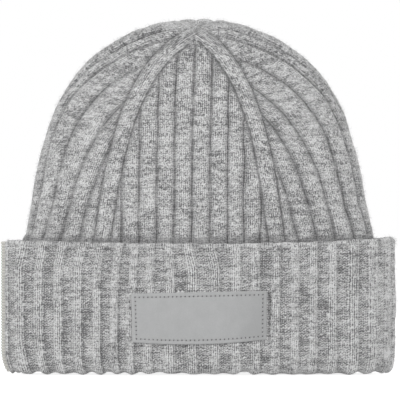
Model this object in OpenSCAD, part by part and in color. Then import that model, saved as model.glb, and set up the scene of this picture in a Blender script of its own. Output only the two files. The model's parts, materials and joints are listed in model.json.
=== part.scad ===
// Ribbed knit beanie with a turned-up cuff, standing on its cuff.
// The front faces -Y, +X is to the right of a person looking at the front, +Z is up.

/* [Overall] */
// Height from the rim to the top of the crown
hat_h = 207.5; // [170:0.5:240]
// Thickness of the knit at the top of a rib
knit_t = 3.4; // [2.6:0.1:4.5]
// How square the oval plan is: 2 is an ellipse, more is squarer
squareness = 2.5; // [2:0.1:3]
// Ribs around the hat
ribs = 44; // [40:4:52]
// How much wider than the mean a rib is at the sides, and narrower at the front, as a share
side_stretch = 0.075; // [0:0.005:0.15]

/* [Crown] */
// How far the crown stands in from the cuff at each side
crown_side_step = 14; // [9:0.5:25]
// How far the crown stands in from the cuff at the front and back
crown_front_step = 8; // [7:0.5:16]
// How far each side leans in over the height of the crown
crown_lean = 20; // [0:1:30]
// Width of the front gore and of the back gore, in ribs from dart to dart
front_ribs = 10; // [8:0.5:12]
// How far the front of the crown is turned to the left, in ribs
front_turn = 0.5; // [0:0.1:1]
// How far below the top of the crown the ribs are gathered, on the front
gather_drop = 7; // [4:0.5:14]
// Depth of the grooves between the ribs
groove_depth = 1.5; // [0.5:0.1:1.8]
// Width of a groove as a share of the rib pitch
groove_share = 0.28; // [0.15:0.01:0.5]

/* [Cuff] */
// Width of the cuff
cuff_w = 230; // [224:1:250]
// Depth of the cuff, front to back
cuff_d = 92; // [90:1:110]
// Height of the cuff
cuff_h = 78; // [50:1:90]
// Height of the rounded fold at the rim
fold_h = 4; // [3:0.5:6]
// Gap between the two layers of the cuff at the fold
layer_gap = 1.5; // [1:0.1:3]
// How far a cuff rib stands out
cuff_rib_rise = 1.2; // [0.5:0.1:1.8]
// Width of a cuff rib as a share of the pitch
cuff_rib_share = 0.36; // [0.2:0.01:0.5]
// Height of the bound-off edge along the top of the cuff
edge_h = 2.4; // [1.5:0.1:4]

/* [Label patch] */
// Width of the patch
patch_w = 80; // [50:1:90]
// Height of the patch
patch_h = 30; // [20:1:40]
// Thickness of the patch
patch_t = 1.2; // [0.8:0.1:2]
// Height of the patch's centre above the rim
patch_z = 33; // [25:1:45]
// Turn of the patch in its own plane
patch_tilt = 0.8; // [-2:0.1:2]
// Distance of the stitch line from the patch's edge
stitch_inset = 2.4; // [1.5:0.1:4]
// Spacing of the stitches
stitch_pitch = 2.5; // [2:0.1:4]
// Length of one stitch
stitch_length = 1.9; // [1:0.1:1.95]
// Thickness of the sewing thread
thread_d = 0.5; // [0.3:0.1:0.8]

/* [Seams] */
// Width of the seam down the side
seam_w = 3.2; // [2:0.1:4]
// Thickness of the seam inside the hat
seam_t = 2; // [1:0.1:3]
// Width of the opening that the crown is gathered into
gather_w = 7; // [5:0.5:10]
// Diameter of the knot inside the crown
knot_d = 7; // [5:0.5:9]

/* [Care label] */
// Length of the care label from the seam to its free end
care_length = 28; // [20:1:40]
// Height of the care label along the seam
care_h = 22; // [15:1:40]
// Thickness of the care label, folded double
care_t = 0.8; // [0.5:0.1:1.5]
// Height of the care label's lower edge above the rim
care_z = 28; // [15:1:50]

/* [Fits] */
// Clearance between pieces that lie on each other
seat = 0.2; // [0.1:0.05:0.3]

/* [Hidden] */

knit_grey = "#a3a3a3";
cuff_grey = "#a5a5a5";
patch_grey = "#aeafaf";
thread_grey = "#7a7a7a";
seam_grey = "#b5b3ae";
label_white = "#e8e8e6";

side_centre = ribs / 4;
dart_left = -front_turn - front_ribs / 2;
dart_right = -front_turn + front_ribs / 2;
back_centre = ribs / 2 - front_turn;
crown_rise = hat_h - cuff_h;
crown_rows = 14;
smooth_columns = 96;
outline_steps = 360;
side_steps = 90;
slab_insets = [2.2, 0.8, 0];
slab_tops = [0.25, 0.6, 1];
patch_steps = 16;
hem_sides = 16;
// Least distance, in ribs, between a groove and the edge of a dart's rib
least_rib = 0.3;

cuff_half_w = cuff_w / 2;
cuff_half_d = cuff_d / 2;
crown_half_w = cuff_half_w - crown_side_step;
crown_half_d = cuff_half_d - crown_front_step;
// Half sizes of the inner layer's outer face at the fold
rim_half_w = cuff_half_w - knit_t - layer_gap;
rim_half_d = cuff_half_d - knit_t - layer_gap;

function signed_power(v) = sign(v) * pow(abs(v), 2 / squareness);

// A point of the oval plan; turn is 0 at the front, 90 at +X and 180 at the back
function plan_point(half_w, half_d, turn) =
    [half_w * signed_power(sin(turn)), -half_d * signed_power(cos(turn))];

// Distance along the plan's outline for each turn, from the front
function outline_table(half_w, half_d) = [
    for (
        i = 0, run = 0, last = plan_point(half_w, half_d, 0);
        i <= outline_steps;
        i = i + 1,
        next = plan_point(half_w, half_d, i * 360 / outline_steps),
        run = run + norm(next - last),
        last = next
    ) [run, i * 360 / outline_steps]
];

crown_table = outline_table(crown_half_w, crown_half_d);
cuff_table = outline_table(cuff_half_w, cuff_half_d);

// The turn at which a place counted in ribs from the middle of the front lies
function rib_run(place) = place / ribs - side_stretch / (4 * PI) * sin(720 * place / ribs);
function rib_turn(place, table) = place < 0
    ? -rib_turn(-place, table)
    : lookup(rib_run(place) * table[outline_steps][0], table);

// Columns of a gore: its two edges, the grooves beside each dart's rib and those between, each with
// two edges and a bottom, as [place, share of the groove's depth]
function groove(place) = [for (side = [-1:1]) [place + side * groove_share / 2, side == 0 ? 1 : 0]];
function gore_columns(from, centre, to) = concat(
    [[from, 0]],
    groove(from + 0.5),
    [
        for (k = [-floor(centre - from - 0.5 - least_rib):floor(to - centre - 0.5 - least_rib)])
        each groove(centre + k)
    ],
    groove(to - 0.5),
    [[to, 0]]
);

front_columns = gore_columns(dart_left, -front_turn, dart_right);
right_columns = gore_columns(dart_right, side_centre, back_centre - front_ribs / 2);
back_columns = gore_columns(back_centre - front_ribs / 2, back_centre, back_centre + front_ribs / 2);
left_columns = gore_columns(back_centre + front_ribs / 2, ribs - side_centre, ribs + dart_left);
function all_but_last(list) = [for (i = [0:len(list) - 2]) list[i]];
ring_columns = [
    for (columns = [front_columns, right_columns, back_columns, left_columns])
    each all_but_last(columns)
];
seam_half = seam_w / crown_table[outline_steps][0] * ribs / 2;
seam_columns = [[ribs - side_centre - seam_half, 0], [ribs - side_centre + seam_half, 0]];

// The crown's sides: its height follows the square root of the sine of an angle, its width the cosine
function side_z(angle, inset) = cuff_h + (crown_rise - inset) * sqrt(sin(angle));
function side_half_w(angle, inset) = (crown_half_w - inset - crown_lean * sqrt(sin(angle))) * cos(angle);
function side_half_d(angle, inset) = (crown_half_d - inset) * cos(angle);

// Distance up the side for each angle, and the angle at a share of the way up
function side_mean(angle) = [(side_half_w(angle, 0) + side_half_d(angle, 0)) / 2, side_z(angle, 0)];
side_table = [
    for (
        i = 0, run = 0, last = side_mean(0);
        i <= side_steps;
        i = i + 1,
        next = side_mean(i * 90 / side_steps),
        run = run + norm(next - last),
        last = next
    ) [run, i * 90 / side_steps]
];
side_length = side_table[side_steps][0];
function side_angle(share) = lookup(share * side_length, side_table);
function side_share(angle) = lookup(angle, [for (entry = side_table) [entry[1], entry[0] / side_length]]);

// The crown seen flat from above, as a disc of radius 1: the gather lies on its front half
gather_angle = asin(pow((crown_rise - gather_drop) / crown_rise, 2));
gather_place = [0, side_share(gather_angle) - 1];
gather_share = 1 - gather_w / 2 / side_length;

// A point of the crown: place goes round it in ribs, and share goes from 0 at the cuff to 1 at the gather
function crown_point(place, share, inset) =
    let (
        turn = 360 * place / ribs,
        flat = (1 - share) * [sin(turn), -cos(turn)] + share * gather_place,
        angle = side_angle(1 - min(1, norm(flat))),
        at = plan_point(
            side_half_w(angle, inset), side_half_d(angle, inset),
            rib_turn(atan2(flat[0], -flat[1]) / 360 * ribs, crown_table)
        )
    )
    [at[0], at[1], side_z(angle, inset)];

// The grooves get shallower as the ribs draw together at the top
function crown_row(columns, share, inset, depth) = [
    for (column = columns)
    crown_point(column[0], share, inset + column[1] * depth * min(1, 2 * (1 - share)))
];
function crown_face(columns, inset, depth) = [
    for (i = [0:crown_rows - 1])
    crown_row(columns, gather_share * i / (crown_rows - 1), inset, depth)
];

// The layer behind the cuff widens from the crown down to the fold
function band_half_w(z) = crown_half_w + (rim_half_w - crown_half_w) * (cuff_h - z) / (cuff_h - fold_h);
function band_half_d(z) = crown_half_d + (rim_half_d - crown_half_d) * (cuff_h - z) / (cuff_h - fold_h);
function band_row(columns, z, inset, depth) = [
    for (column = columns)
    let (
        cut = inset + column[1] * depth,
        at = plan_point(band_half_w(z) - cut, band_half_d(z) - cut, rib_turn(column[0], crown_table))
    )
    [at[0], at[1], z]
];
function band_face(columns, inset, depth) =
    [band_row(columns, fold_h, inset, depth), band_row(columns, cuff_h, inset, depth)];

// A closed solid between an outer and an inner face, each a list of rows of points
module knit_shell(outer, inner, ring) {
    rows = len(outer);
    columns = len(outer[0]);
    spans = ring ? columns - 1 : columns - 2;
    points = concat([for (row = outer) each row], [for (row = inner) each row]);
    function at(face, r, c) = (face * rows + r) * columns + c % columns;
    function split(a, b, c, d) = [[a, b, c], [a, c, d]];
    faces = concat(
        [
            for (r = [0:rows - 2])
            for (c = [0:spans])
            each split(at(0, r, c), at(0, r + 1, c), at(0, r + 1, c + 1), at(0, r, c + 1))
        ],
        [
            for (r = [0:rows - 2])
            for (c = [0:spans])
            each split(at(1, r, c), at(1, r, c + 1), at(1, r + 1, c + 1), at(1, r + 1, c))
        ],
        [
            for (c = [0:spans])
            each split(at(0, 0, c), at(0, 0, c + 1), at(1, 0, c + 1), at(1, 0, c))
        ],
        [
            for (c = [0:spans])
            let (top = rows - 1)
            each split(at(0, top, c + 1), at(0, top, c), at(1, top, c), at(1, top, c + 1))
        ],
        ring ? [] : [
            for (r = [0:rows - 2])
            let (end = spans + 1)
            each concat(
                split(at(0, r, 0), at(1, r, 0), at(1, r + 1, 0), at(0, r + 1, 0)),
                split(at(0, r, end), at(0, r + 1, end), at(1, r + 1, end), at(1, r, end))
            )
        ]
    );
    polyhedron(points, faces);
}

module crown_gore(columns) {
    knit_shell(crown_face(columns, 0, groove_depth), crown_face(columns, knit_t, 0), false);
}

// A smooth oval, as points of the plan
function oval(half_w, half_d) = [
    for (i = [0:smooth_columns - 1])
    plan_point(half_w, half_d, rib_turn(i * ribs / smooth_columns, cuff_table))
];

// The cuff's outline, with a raised rib opposite each groove of the crown
function ribbed_oval(half_w, half_d) = [
    for (rib = [0:ribs - 1])
    for (step = [[-1, 1], [-1, 0], [1, 0], [1, 1]])
    let (
        half_share = cuff_rib_share / 2 + step[1] * cuff_rib_share / 4,
        cut = step[1] * cuff_rib_rise
    )
    plan_point(half_w - cut, half_d - cut, rib_turn(rib + 0.5 + step[0] * half_share, cuff_table))
];

// Where the tops of the cuff's ribs lie at the front, at a distance from its middle
function front_y(x) = -cuff_half_d * pow(1 - pow(abs(x) / cuff_half_w, squareness), 1 / squareness);

module crown_front() {
    color(knit_grey)
        crown_gore(front_columns);
}

module crown_right() {
    color(knit_grey)
        crown_gore(right_columns);
}

module crown_back() {
    color(knit_grey)
        crown_gore(back_columns);
}

module crown_left() {
    color(knit_grey)
        crown_gore(left_columns);
}

function middle(points) = [for (k = [0:2]) sum([for (point = points) point[k]]) / len(points)];
function sum(list, i = 0) = i == len(list) ? 0 : list[i] + sum(list, i + 1);

// The last loops of the crown drawn together on a thread, and the knot that holds it inside
module crown_gather() {
    outer = crown_row(ring_columns, gather_share, 0, 0);
    inner = crown_row(ring_columns, gather_share, knit_t, 0);
    count = len(ring_columns);
    top = middle(outer);
    bottom = middle(inner);
    faces = [
        for (i = [0:count - 1])
        let (next = (i + 1) % count)
        each [
            [i, 2 * count, next],
            [count + i, count + next, 2 * count + 1],
            [i, next, count + next],
            [i, count + next, count + i]
        ]
    ];
    color(knit_grey)
        polyhedron(concat(outer, inner, [top, bottom]), faces);
    color(thread_grey)
        translate(bottom + (bottom - top) / norm(top - bottom) * (knot_d / 2 - seat))
            sphere(d = knot_d, $fn = 48);
}

// The layer against the head, from the fold up to the crown
module head_band() {
    color(knit_grey)
        knit_shell(band_face(ring_columns, 0, groove_depth), band_face(ring_columns, knit_t, 0), true);
}

// The cuff's plan, inset from the tops of its ribs
module outer_oval(inset) {
    polygon(oval(cuff_half_w - inset, cuff_half_d - inset));
}

// The plan of the space inside the fold, inset into the knit round it
module inner_oval(inset) {
    polygon(oval(rim_half_w - knit_t + inset, rim_half_d - knit_t + inset));
}

// The turn of the knit at the rim, with a flat underside that the hat stands on
module rim_fold() {
    color(cuff_grey)
        for (i = [0:len(slab_tops) - 1]) {
            bottom = i == 0 ? 0 : slab_tops[i - 1] * fold_h;
            translate([0, 0, bottom])
                linear_extrude(slab_tops[i] * fold_h - bottom)
                    difference() {
                        outer_oval(cuff_rib_rise + slab_insets[i]);
                        inner_oval(slab_insets[i]);
                    }
        }
}

// The outer layer, turned up so that the back of the knit shows
module cuff() {
    color(cuff_grey)
        translate([0, 0, fold_h])
            linear_extrude(cuff_h - fold_h - edge_h)
                difference() {
                    polygon(ribbed_oval(cuff_half_w, cuff_half_d));
                    outer_oval(knit_t);
                }
}

// The bound-off edge that closes the top of the cuff
module cuff_edge() {
    color(seam_grey)
        translate([0, 0, cuff_h - edge_h])
            linear_extrude(edge_h)
                difference() {
                    outer_oval(seat);
                    outer_oval(knit_t - seat);
                }
}

// The seam that closes the knit down the left side, inside the hat
function seam_face(off) = concat(band_face(seam_columns, off, 0), crown_face(seam_columns, off, 0));
module side_seam() {
    near = seam_face(knit_t + seat);
    far = seam_face(knit_t + seat + seam_t);
    color(seam_grey)
        knit_shell(near, far, false);
}

// The same seam on the outside of the cuff, between two ribs
module cuff_seam() {
    color(seam_grey)
        translate([-cuff_half_w, -seam_w / 2, fold_h])
            cube([cuff_rib_rise, seam_w, cuff_h - fold_h - edge_h]);
}

// One face of the patch in plan: it follows the cuff's front, off by the given distance
function patch_line(off) = [
    for (i = [0:patch_steps])
    let (x = patch_w * (i / patch_steps - 0.5))
    [x, front_y(x) - off]
];

// The plain patch on the front of the cuff
module label_patch() {
    far = patch_line(seat + patch_t);
    near = patch_line(seat);
    color(patch_grey)
        translate([0, 0, patch_z])
            rotate([0, -patch_tilt, 0])
                translate([0, 0, -patch_h / 2])
                    linear_extrude(patch_h)
                        polygon(concat(far, [for (i = [patch_steps:-1:0]) near[i]]));
}

// Places of the stitches round the patch: [x, z, angle in the patch's plane]
line_w = patch_w - 2 * stitch_inset;
line_h = patch_h - 2 * stitch_inset;
across = round(line_w / stitch_pitch);
up = round(line_h / stitch_pitch);
stitch_places = concat(
    [
        for (side = [-1, 1])
        for (i = [0:across - 1])
        [(i + 0.5) * line_w / across - line_w / 2, side * line_h / 2, 0]
    ],
    [
        for (side = [-1, 1])
        for (i = [0:up - 1])
        [side * line_w / 2, (i + 0.5) * line_h / up - line_h / 2, 90]
    ]
);

// A ring of stitches round the patch, whose near side stands off the tops of the ribs by off
module stitch_ring(off) {
    translate([0, 0, patch_z])
        rotate([0, -patch_tilt, 0])
            for (place = stitch_places) {
                slope = atan((front_y(place[0] + 1) - front_y(place[0] - 1)) / 2);
                translate([place[0], front_y(place[0]) - off - thread_d / 2, place[1]])
                    rotate([0, 0, slope])
                        rotate([0, place[2], 0])
                            cube([stitch_length, thread_d, thread_d], center = true);
            }
}

// The stitches that show on the patch
module patch_thread() {
    color(thread_grey)
        stitch_ring(seat + patch_t);
}

// The lower thread of the same stitches, on the back of the cuff's outer layer
module patch_bobbin_thread() {
    color(thread_grey)
        stitch_ring(-knit_t - seat - thread_d);
}

// The blank care label, caught by one edge in the side seam and turning on the line of the seam
care_x = -(band_half_w(care_z) - knit_t - 2 * seat - seam_t - care_t / 2);
care_lean = atan((band_half_w(care_z) - band_half_w(care_z + care_h)) / care_h);
module care_label() {
    color(label_white)
        translate([care_x, 0, care_z])
            rotate([0, care_lean, 0]) {
                cylinder(h = care_h, d = care_t, $fn = hem_sides);
                translate([0, -care_t / 2, 0])
                    cube([care_length, care_t, care_h]);
            }
}

crown_front();
crown_right();
crown_back();
crown_left();
crown_gather();
head_band();
rim_fold();
cuff();
cuff_edge();
side_seam();
cuff_seam();
label_patch();
patch_thread();
patch_bobbin_thread();
care_label();
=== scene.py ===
import json
import math

import bpy
import numpy as np
from bpy.props import FloatProperty, FloatVectorProperty, IntProperty, PointerProperty
from bpy.types import Operator, Panel, PropertyGroup
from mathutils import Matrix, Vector
from mathutils.kdtree import KDTree


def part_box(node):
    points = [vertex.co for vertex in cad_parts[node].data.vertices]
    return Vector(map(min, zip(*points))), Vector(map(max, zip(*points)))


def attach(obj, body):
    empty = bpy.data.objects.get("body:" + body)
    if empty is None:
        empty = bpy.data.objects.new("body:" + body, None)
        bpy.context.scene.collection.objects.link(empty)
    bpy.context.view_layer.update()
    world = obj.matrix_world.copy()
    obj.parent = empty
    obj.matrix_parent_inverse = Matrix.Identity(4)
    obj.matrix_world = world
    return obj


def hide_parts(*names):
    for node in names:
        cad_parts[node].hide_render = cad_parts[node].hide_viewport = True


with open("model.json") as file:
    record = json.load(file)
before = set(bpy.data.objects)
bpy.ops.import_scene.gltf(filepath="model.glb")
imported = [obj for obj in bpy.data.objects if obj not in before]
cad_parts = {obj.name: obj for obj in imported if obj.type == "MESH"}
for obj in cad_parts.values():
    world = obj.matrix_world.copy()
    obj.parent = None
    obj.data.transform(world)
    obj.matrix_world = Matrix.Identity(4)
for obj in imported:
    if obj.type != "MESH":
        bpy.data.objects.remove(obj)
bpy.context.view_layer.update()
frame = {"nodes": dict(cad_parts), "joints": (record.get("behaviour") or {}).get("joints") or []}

bl_info = {
    "name": "Ribbed knit beanie",
    "version": (1, 0, 0),
    "blender": (4, 5, 0),
    "location": "3D View > Sidebar > Beanie",
    "description": "Knits a ribbed beanie with a turned-up cuff and a sewn patch round its packed frame",
    "category": "Add Mesh",
}

MM = 0.001
HAT = "hat"
LABEL = "care_label"
TAU = 2 * math.pi


def half_sizes(node, height):
    """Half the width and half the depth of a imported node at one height."""
    points = np.array([v.co for v in frame["nodes"][node].data.vertices])
    tolerance = 0.2 * MM
    level = points[np.abs(points[:, 2] - height) < tolerance]
    return float(np.abs(level[:, 0]).max()), float(np.abs(level[:, 1]).max())


def high(node, axis):
    """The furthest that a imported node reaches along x, y or z."""
    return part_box(node)[1][axis]


CUFF_TOP = high("cuff_edge", 2)
FOLD_TOP = high("rim_fold", 2)
CROWN_HALF = half_sizes("crown_right", CUFF_TOP)[0], half_sizes("crown_front", CUFF_TOP)[1]
RIM_HALF = half_sizes("head_band", FOLD_TOP)
HAT_TOP = max(high(node, 2) for node in ("crown_back", "crown_left", "crown_right"))


def length(name, description, default):
    return FloatProperty(
        name=name, description=description, default=default, min=0, unit="LENGTH", precision=4
    )


def share(name, description, default):
    return FloatProperty(
        name=name, description=description, default=default, min=0, max=1, subtype="FACTOR"
    )


def grey(name, description, tone):
    return FloatVectorProperty(
        name=name, description=description, default=tone, min=0, max=1, size=3, subtype="COLOR"
    )


class BeanieSizes(PropertyGroup):
    crown_w: length("Crown half width", "Half the crown's width at the top of the cuff", CROWN_HALF[0])
    crown_d: length("Crown half depth", "Half the crown's depth at the top of the cuff", CROWN_HALF[1])
    lean: length("Lean", "How far each side of the crown leans in over its height", 20 * MM)
    hat_h: length("Height", "Height of the hat from the rim", HAT_TOP)
    cuff_w: length("Cuff half width", "Half the cuff's width", high("cuff", 0))
    cuff_d: length("Cuff half depth", "Half the cuff's depth", high("cuff", 1))
    cuff_h: length("Cuff height", "Height of the cuff", CUFF_TOP)
    fold_h: length("Fold height", "Height of the rounded fold at the rim", FOLD_TOP)
    rim_w: length("Rim half width", "Half the width of the inner layer at the fold", RIM_HALF[0])
    rim_d: length("Rim half depth", "Half the depth of the inner layer at the fold", RIM_HALF[1])
    knit_t: length("Knit thickness", "Thickness of the knit at the top of a rib", 3.4 * MM)
    gather_drop: length("Gather drop", "How far below the top the ribs are gathered", 7 * MM)
    gather_r: length("Gather radius", "Radius of the drawn-in loops", 3.5 * MM)
    squareness: FloatProperty(
        name="Squareness", description="How square the oval plan is", default=2.5, min=2, max=4
    )
    gather_turn: FloatProperty(
        name="Gather turn",
        description="Turn of the gather from the middle of the front",
        default=-0.07,
        unit="ROTATION",
    )


class BeanieKnit(PropertyGroup):
    ribs: IntProperty(name="Ribs", description="Ribs around the hat", default=44, min=8)
    gore_ribs: IntProperty(
        name="Gore ribs", description="Ribs from dart to dart on the front and back", default=10, min=4
    )
    front_turn: FloatProperty(
        name="Front turn", description="How far the crown is turned to the left, in ribs", default=0.5
    )
    side_stretch: share("Side stretch", "How much wider than the mean a rib is at the sides", 0.075)
    crown_stretch: share("Crown side stretch", "The same on the side gores of the crown", 0.15)
    side_draw: share("Side draw", "How far the ribs by the side line are drawn in towards the top", 0.68)
    groove: length("Groove depth", "Depth of the grooves of the crown", 2.1 * MM)
    dart_half: length("Dart rib half width", "Half the width of the rib along each dart", 5 * MM)
    wale: length("Wale", "Width of one column of stitches", 2.3 * MM)
    course: length("Course", "Height of one row of stitches", 1.4 * MM)
    stitch: length("Stitch relief", "How far a stitch stands out", 0.34 * MM)
    cuff_rise: length("Cuff rib rise", "How far a cuff rib stands out", 1.5 * MM)
    cuff_rib: length("Cuff rib half width", "Half the width of a cuff rib at its top", 1.9 * MM)
    cuff_foot: length("Cuff rib foot", "Half the width of a cuff rib at its foot", 3.5 * MM)
    seen_pitch: length("Seen pitch", "Spacing of the cuff's ribs as seen from the front", 11.52 * MM)
    seen_shift: length("Seen shift", "How far left of the middle the middle rib is", 1.15 * MM)
    even_half: length("Even half width", "How far to the sides the seen spacing holds", 103 * MM)
    purl_wale: length("Purl wale", "Width of one column of purl stitches", 2.17 * MM)
    seam_tuck: length("Seam tuck", "How far the side seam draws the cuff in", 2.4 * MM)
    seam_reach: length("Seam reach", "How far from the side seam the cuff is drawn in", 13 * MM)
    corner_h: length("Corner height", "Height of the rounding of the cuff's lower corners", 15 * MM)
    corner_w: length("Corner width", "Rounding of the lower left corner", 6.5 * MM)
    corner_right: length("Right corner width", "Rounding of the lower right corner", 4 * MM)
    corner_d: length("Corner depth", "Rounding of the lower edge at the front and back", 2.2 * MM)


class BeanieColours(PropertyGroup):
    wool_dark: grey("Dark wool", "The darkest fibres of the heather", (0.138, 0.138, 0.141))
    wool_light: grey("Light wool", "The lightest fibres of the heather", (0.745, 0.745, 0.745))
    patch: grey("Patch", "The smooth patch", (0.424, 0.428, 0.430))
    hole: grey("Needle hole", "The holes along the stitch line", (0.06, 0.06, 0.06))
    thread: grey("Thread", "The sewing thread", (0.52, 0.52, 0.525))
    seam: grey("Seam yarn", "The pale overlock yarn", (0.70, 0.69, 0.65))
    tape: grey("Label tape", "The blank care label", (0.78, 0.78, 0.77))
    floor: grey("Floor", "The floor and the backdrop", (0.86, 0.86, 0.86))


# Shader nodes ---------------------------------------------------------------------------------


class Signal:
    """The output of a node, so that shader maths reads as plain expressions."""

    def __init__(self, nodes, socket):
        self.nodes = nodes
        self.socket = socket

    def math(self, operation, a, b, clamp=False):
        """A Math node on two values or signals."""
        settings = {"operation": operation, "use_clamp": clamp}
        return self.nodes.node("ShaderNodeMath", settings, {0: a, 1: b})

    def __add__(self, other):
        return self.math("ADD", self, other)

    def __sub__(self, other):
        return self.math("SUBTRACT", self, other)

    def __rsub__(self, other):
        return self.math("SUBTRACT", other, self)

    def __mul__(self, other):
        return self.math("MULTIPLY", self, other)

    def clamped(self):
        return self.math("ADD", self, 0.0, clamp=True)

    __radd__ = __add__
    __rmul__ = __mul__


class Nodes:
    """The nodes of a material or of the world. Each of them comes from node()."""

    def __init__(self, owner):
        owner.use_nodes = True
        self.tree = owner.node_tree
        self.tree.nodes.clear()

    def node(self, kind, settings=None, values=None, output=0):
        """Adds a node with its settings and the values or links of its sockets, and gives its output."""
        made = self.tree.nodes.new(kind)
        for name, value in (settings or {}).items():
            setattr(made, name, value)
        for name, value in (values or {}).items():
            if isinstance(value, Signal):
                self.tree.links.new(value.socket, made.inputs[name])
            else:
                made.inputs[name].default_value = value
        return Signal(self, made.outputs[output]) if made.outputs else None

    def seen(self):
        """1 for rays from the camera and for reflections, 0 for the light that falls on the hat."""
        camera = self.node("ShaderNodeLightPath", output="Is Camera Ray")
        glossy = self.node("ShaderNodeLightPath", output="Is Glossy Ray")
        return (camera + glossy).clamped()


class Finish(Nodes):
    """One material."""

    def __init__(self, name):
        self.material = bpy.data.materials.new(name)
        super().__init__(self.material)

    def field(self, name):
        return self.node("ShaderNodeAttribute", {"attribute_name": name}, output="Vector")

    def parts(self, vector):
        """The three numbers of a vector."""
        split = self.node("ShaderNodeSeparateXYZ", values={0: vector})
        return [Signal(self, socket) for socket in split.socket.node.outputs]

    def scaled(self, vector, factors):
        return self.node("ShaderNodeVectorMath", {"operation": "MULTIPLY"}, {0: vector, 1: factors})

    def noise(self, vector, scale, detail=2.0, roughness=0.55):
        values = {"Vector": vector, "Scale": scale, "Detail": detail, "Roughness": roughness}
        return self.node("ShaderNodeTexNoise", values=values)

    def bands(self, vector, scale, distortion, more=None):
        """Soft stripes across the first direction of a vector."""
        values = {"Vector": vector, "Scale": scale, "Distortion": distortion, **(more or {})}
        return self.node("ShaderNodeTexWave", {"bands_direction": "X"}, values)

    def mix(self, factor, colour_a, colour_b):
        """A blend of two colours, which are the inputs 6 and 7 and the output 2 of a Mix node."""
        settings = {"data_type": "RGBA", "clamp_factor": True}
        return self.node("ShaderNodeMix", settings, {0: factor, 6: colour_a, 7: colour_b}, output=2)

    def bump(self, height, strength, distance):
        values = {"Height": height, "Strength": strength, "Distance": distance}
        return self.node("ShaderNodeBump", values=values)

    def surface(self, **values):
        """The finished material, whose shader takes these values or signals."""
        names = {name.replace("_", " ").title().replace("Ior", "IOR"): v for name, v in values.items()}
        shader = self.node("ShaderNodeBsdfPrincipled", values=names)
        self.node("ShaderNodeOutputMaterial", values={"Surface": shader})
        return self.material


def opaque(colour, factor=1.0):
    """A colour, made darker or paler by a factor, for a shader's socket."""
    return (*(factor * part for part in colour), 1.0)


WHITE = (1.0, 1.0, 1.0, 1.0)
finishes = {}


def finish(make):
    """The material that a function makes: made once, and named after the function."""
    name = make.__name__
    if name not in finishes:
        finishes[name] = make(name)
    return finishes[name]


def heather(name, base_tone, groove_shade, rib_light, leg_light):
    """Heather wool: blotches, streaks along the wales, pale and dark fibres, painted shade in the gaps
    between stitches and in the grooves, and painted light and shade from the relief.
    """
    colours = bpy.context.scene.beanie_colours
    made = Finish(name)
    yarn = made.field("yarn")
    high_part, stitch, light = made.parts(made.field("relief"))
    cloud = made.noise(yarn, 0.055, 1.0)
    blotch = made.noise(made.scaled(yarn, (0.45, 1.2, 1.0)), 0.28, 2.0, 0.5)
    mottle = made.noise(yarn, 0.72, 1.0, 0.5)
    streak = made.noise(made.scaled(yarn, (1.0, 0.35, 1.0)), 1.5, 1.0, 0.6)
    fleck = made.noise(made.scaled(yarn, (1.0, 0.7, 1.0)), 2.1, 1.0, 0.6)
    fibre = made.noise(made.scaled(yarn, (1.0, 0.45, 1.0)), 7.0, 2.0, 0.8)
    legs = made.bands(yarn, 0.25, 1.4, {"Detail": 1.0, "Detail Scale": 0.4})
    tone = (
        base_tone
        + (cloud - 0.5) * 0.7
        + (blotch - 0.5) * 1.5
        + (mottle - 0.5) * 1.15
        + (legs - 0.5) * high_part * leg_light
        + (streak - 0.5) * (0.6 + high_part * 1.5)
        + (fleck - 0.5) * 1.6
        # Painted shade: the gaps between the stitches are painted darker.
        + (stitch - 0.5) * 1.15
        + (light - 0.5) * rib_light
    )
    # Painted shade: the grooves, where the relief is low, are painted darker.
    shade = groove_shade + high_part * (1 - groove_shade)
    dark, pale = opaque(colours.wool_dark), opaque(colours.wool_light)
    return made.surface(
        base_color=made.mix((tone * shade).clamped(), dark, pale),
        normal=made.bump(fibre, 0.5, 0.25 * MM),
        roughness=0.9, sheen_weight=0.25, sheen_roughness=0.6, specular_ior_level=0.2,
    )


def crown_wool(name):
    return heather(name, base_tone=0.52, groove_shade=0.44, rib_light=0.34, leg_light=0.12)


def cuff_wool(name):
    return heather(name, base_tone=0.585, groove_shade=1.0, rib_light=0.34, leg_light=0.5)


def seam_yarn(name):
    """Pale twisted yarn, with painted shade between its wraps and on one side of a round strand."""
    colours = bpy.context.scene.beanie_colours
    made = Finish(name)
    high_part = made.parts(made.field("relief"))[0]
    twist = made.noise(made.scaled(made.field("yarn"), (1.0, 3.0, 1.0)), 1.2, 2.0)
    # Painted shade: the yarn is painted darker where the first relief number is low.
    tone = (0.47 + high_part * 0.6 + (twist - 0.5) * 0.9).clamped()
    return made.surface(
        base_color=made.mix(tone, opaque(colours.seam, 0.42), opaque(colours.seam)),
        normal=made.bump(twist, 0.5, 0.2 * MM), roughness=0.85, sheen_weight=0.2,
    )


def sewing_thread(name):
    """Smooth sewing thread with a fine twist."""
    colours = bpy.context.scene.beanie_colours
    made = Finish(name)
    twist = made.noise(made.scaled(made.field("yarn"), (1.0, 2.5, 1.0)), 3.0, 1.0)
    return made.surface(
        base_color=made.mix(twist, opaque(colours.thread, 0.75), opaque(colours.thread)),
        normal=made.bump(twist, 0.4, 0.08 * MM), roughness=0.55,
    )


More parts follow.
